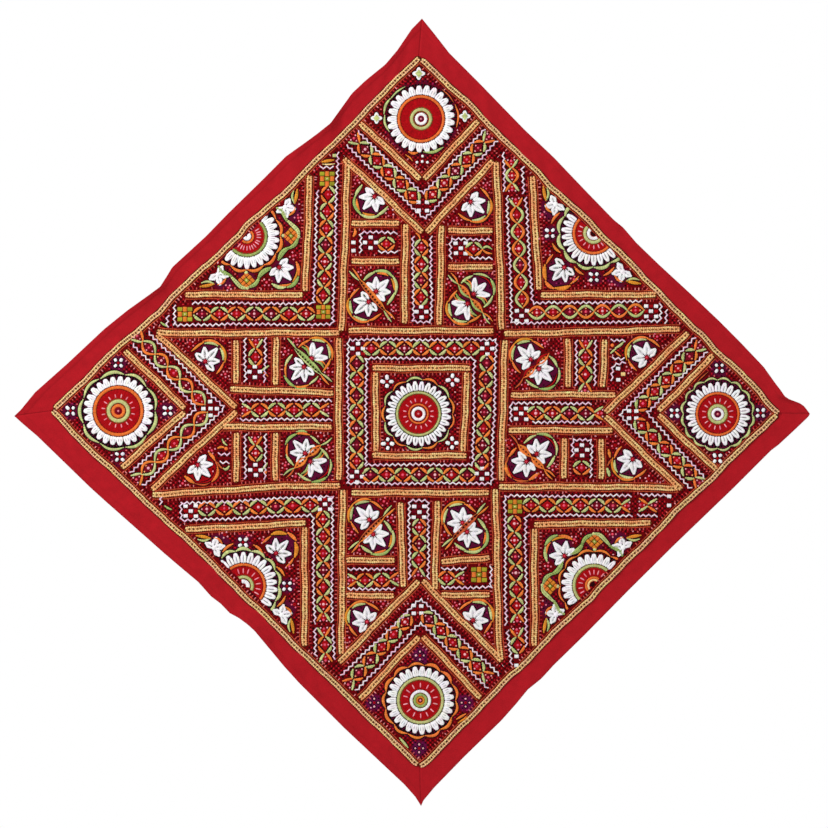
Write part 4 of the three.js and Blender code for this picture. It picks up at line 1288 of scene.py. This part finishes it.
# -------------------- materials
def feed(tree, node, inputs):
    """Sets a node's inputs, each to a value or to the output that drives it."""
    for name, value in inputs.items():
        if isinstance(value, bpy.types.NodeSocket):
            tree.links.new(value, node.inputs[name])
        else:
            node.inputs[name].default_value = value
    return node


def new_material(name, roughness, sheen, bump, bump_scale, weave_scale=0, weave_turn=0.0):
    """Cotton or thread in the colours of the mesh, uneven in tone and roughness, with a weave if it
    has a scale."""
    material = bpy.data.materials.new(name)
    material.use_nodes = True
    tree = material.node_tree

    def add(kind, **inputs):
        named = {socket.replace("_", " "): value for socket, value in inputs.items()}
        return feed(tree, tree.nodes.new(kind), named)

    def plus(a, b):
        both = tree.nodes.new("ShaderNodeMath")
        both.operation = "ADD"
        return feed(tree, both, {0: a, 1: b}).outputs[0]

    tone = add("ShaderNodeAttribute")
    tone.attribute_name = "tone"
    where = add("ShaderNodeTexCoord").outputs["Object"]
    noise = add("ShaderNodeTexNoise", Scale=bump_scale, Detail=3, Vector=where).outputs["Fac"]
    shade = add("ShaderNodeMapRange", To_Min=0.82, To_Max=1.14, Value=noise)
    rough = add("ShaderNodeMapRange", To_Min=roughness - 0.1, To_Max=roughness + 0.1, Value=noise)
    mix = tree.nodes.new("ShaderNodeMix")
    mix.data_type, mix.blend_type = "RGBA", "MULTIPLY"
    feed(tree, mix, {"Factor": 1, "A": tone.outputs["Color"], "B": shade.outputs["Result"]})
    height = noise
    if weave_scale:
        waves = []
        for direction in ("X", "Z"):
            turned = add("ShaderNodeMapping", Rotation=(0, weave_turn, 0), Vector=where)
            w = add("ShaderNodeTexWave", Scale=weave_scale, Distortion=0.6, Detail=1,
                    Vector=turned.outputs["Vector"])
            w.bands_direction = direction
            waves.append(w.outputs["Fac"])
        height = plus(plus(*waves), noise)
    lump = add("ShaderNodeBump", Strength=bump, Distance=0.0004, Height=height)
    feed(tree, tree.nodes["Principled BSDF"], {
        "Sheen Weight": sheen, "Sheen Roughness": 0.5, "Specular IOR Level": 0.05,
        "Base Color": mix.outputs["Result"], "Roughness": rough.outputs["Result"],
        "Normal": lump.outputs["Normal"]})
    return material


thread_material = new_material("embroidery_thread", 0.62, 0.01, 0.45, 900)
ground_material = new_material("embroidered_cotton", 0.85, 0.0, 0.5, 320, 260)
border_material = new_material("border_cotton", 0.8, 0.04, 0.35, 120, 260, 0.785)


# -------------------- cloth
def sheet_object(name, grid, front, back, colours, back_colour, material):
    """Closed sheet over a grid of points (rows, columns, 2), with the lift of its two faces."""
    r, c = grid.shape[:2]
    x, z = grid[..., 0] - PIN[0], grid[..., 1] - PIN[1]
    co = np.concatenate([np.stack([x, -lift, z], -1).reshape(-1, 3) for lift in (front, back)]) * MM
    n = r * c
    index = np.arange(n).reshape(r, c)
    quad = np.stack([index[:-1, :-1], index[:-1, 1:], index[1:, 1:], index[1:, :-1]], -1).reshape(-1, 4)
    loop = np.concatenate([index[0, :-1], index[:-1, -1], index[-1, :0:-1], index[:0:-1, 0]])
    after = np.roll(loop, -1)
    faces = np.concatenate([quad, quad[:, ::-1] + n, np.stack([loop, loop + n, after + n, after], -1)])
    colours = np.concatenate([colours.reshape(-1, 3), np.tile(back_colour, (n, 1))])
    obj = mesh_object(name, co, faces, colours)
    obj.data.materials.append(material)
    return obj


def merge_corner(obj):
    """Merges the points where a patch closes to a corner."""
    bm = bmesh.new()
    bm.from_mesh(obj.data)
    bmesh.ops.remove_doubles(bm, verts=bm.verts, dist=1e-6)
    bm.to_mesh(obj.data)
    bm.free()


def meet(line, first, last):
    """The same line with its two ends drawn to given points."""
    a, b = first - line(0.0), last - line(1.0)
    return lambda u: line(u) + np.multiply.outer((1 - u) ** 40, a) + np.multiply.outer(u ** 40, b)


def distance(a, b):
    return np.hypot(*(b - a))


for name, p in PANELS.items():
    grid = coons(*p["edges"], np.linspace(0, 1, p["across"] + 1), np.linspace(0, 1, p["up"] + 1))
    front = sample(HEIGHT, grid)
    back = front - CLOTH - sample(SOFT_SWELL, grid) * 0.9
    obj = sheet_object("cloth_" + name, grid, front, back, sample(ground, grid) * 0.85, TINT["reverse"],
                       ground_material)
    merge_corner(obj)
    wide, tall = np.ptp(grid[..., 0]), np.ptp(grid[..., 1])
    if name.startswith("corner"):          # cut square, turned by 45 degrees in the hanging
        wide, tall = distance(grid[0, 0], grid[0, -1]), distance(grid[0, 0], grid[-1, 0])
    elif name.startswith("side"):          # cut with its two short edges square to each other
        wide, tall = distance(grid[0, 0], grid[-1, 0]), distance(grid[0, -1], grid[-1, 0])
    wide, tall = wide * MM, tall * MM
    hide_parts(name)
    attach(obj, "root")

# A border strip's points across, from the seam to the hem. The hem's edge is folded under at FOLD.
ACROSS = np.array([0, 0.03, 0.08, 0.16, 0.27, 0.4, 0.52, 0.62, 0.69, 0.74, 0.78, 0.84, 0.91, 0.96, 0.985, 1])
FOLD = 0.735
BORDER_STEPS = 221
CREASES = 9
for number, (name, side) in enumerate(SIDES.items()):
    hem = side["hem"]
    first, last = hem["at"][[0, -1]]

    def hem_at(u):
        at = first + (last - first) * u
        return place(side, at, np.interp(at, hem["at"], hem["out"]))

    edge = meet(seam(side, 0, side_length(side)), FIELD[side["start"]], FIELD[side["end"]])
    hem_line = meet(hem_at, TIPS[side["start"]], TIPS[side["end"]])
    u, v = np.linspace(0, 1, BORDER_STEPS), ACROSS[:, None]
    mitres = [path([edge(end), hem_line(end)]) for end in (0.0, 1.0)]
    grid = coons(edge, mitres[1], hem_line, mitres[0], u, ACROSS)
    at = first + (last - first) * u
    back = wave(grid[..., 0], grid[..., 1]) + np.interp(at, hem["at"], hem["lift"]) * v ** 2
    r = np.random.default_rng(50 + number)
    crease = np.zeros_like(back)
    for _ in range(CREASES):
        pitch, middle = r.uniform(16, 90), r.uniform(0.1, 0.9)
        course = 2 * np.pi * (at + r.uniform(-30, 30) * v) / pitch + r.uniform(0, 6.28)
        crease += 0.0045 * pitch * np.sin(course) * np.exp(-((v - middle) / 0.5) ** 2)
    crease *= np.minimum(1, v * 8) * np.clip(np.minimum(u, 1 - u) * 28, 0, 1)
    fold = np.clip((v - FOLD) / 0.04, 0, 1)
    thick = 0.9 + 0.5 * fold * (1 - np.clip((v - 0.95) / 0.05, 0, 1) ** 2 * 0.8)
    front = back + thick + crease + 0.2
    back = back + np.maximum(crease, -0.2) * 0.8
    # The border's colour is darkened as painted shade along the fold crease and next to the seam, and is
    # darker towards the hem edge.
    shade = (1 - 0.16 * np.clip((v - 0.93) / 0.07, 0, 1) - 0.07 * np.exp(-((v - FOLD) / 0.03) ** 2)
             - 0.10 * np.exp(-(v / 0.06) ** 2))
    tint = np.tile(TINT["border"], back.shape + (1,)) * shade[..., None]
    obj = sheet_object("cloth_border_" + name, grid, front, back, tint, TINT["border"] * 0.8,
                       border_material)
    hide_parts("border_" + name)
    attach(obj, "root")

for thread in Thread.every:
    obj = thread.build()
    obj.data.materials.append(thread_material)
    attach(obj, "root")

# -------------------- floor, light and camera
scene = bpy.context.scene
scene.view_settings.view_transform = "Standard"
MIDDLE_OF_CLOTH = (0, 0, -0.52)
PHOTO_WIDTH = 1.106208      # of what the photo shows from side to side, in metres
WHITE = (1, 1, 1, 1)


def with_nodes(block):
    block.use_nodes = True
    return block.node_tree


bpy.ops.mesh.primitive_plane_add(size=8, location=(0, 0, -1.25))
floor = bpy.context.object
floor.name = "floor"
pale = bpy.data.materials.new("floor_pale")
floor.data.materials.append(pale)
tree = with_nodes(pale)
feed(tree, tree.nodes["Principled BSDF"], {"Base Color": (0.8, 0.8, 0.8, 1), "Roughness": 0.9})

# The camera sees a white backdrop, and the cloth is lit by a dimmer one.
scene.world = bpy.data.worlds.new("studio")
tree = with_nodes(scene.world)
sky = feed(tree, tree.nodes["Background"], {"Color": WHITE, "Strength": 0.54})
white = feed(tree, tree.nodes.new("ShaderNodeBackground"), {"Color": WHITE, "Strength": 1.0})
ray = tree.nodes.new("ShaderNodeLightPath")
pick = feed(tree, tree.nodes.new("ShaderNodeMixShader"), {
    "Fac": ray.outputs["Is Camera Ray"], 1: sky.outputs["Background"], 2: white.outputs["Background"]})
feed(tree, tree.nodes["World Output"], {"Surface": pick.outputs["Shader"]})


def add_object(name, data, location, rotation):
    obj = bpy.data.objects.new(name, data)
    obj.location, obj.rotation_euler = location, rotation
    scene.collection.objects.link(obj)
    return obj


for name, location, size, power in (("key", (-1.9, -1.5, 1.1), 0.7, 52), ("fill", (1.9, -2.2, 0.1), 1.4, 9)):
    light = bpy.data.lights.new(name, "AREA")
    light.shape, light.size, light.energy = "SQUARE", size, power
    towards = Vector(MIDDLE_OF_CLOTH) - Vector(location)
    add_object(name, light, location, towards.to_track_quat("-Z", "Y").to_euler())

camera = bpy.data.cameras.new("camera")
camera.type = "ORTHO"
camera.ortho_scale = PHOTO_WIDTH
scene.camera = add_object("camera", camera, (-0.01065, -3.0, -0.5223), (np.pi / 2, 0, 0))
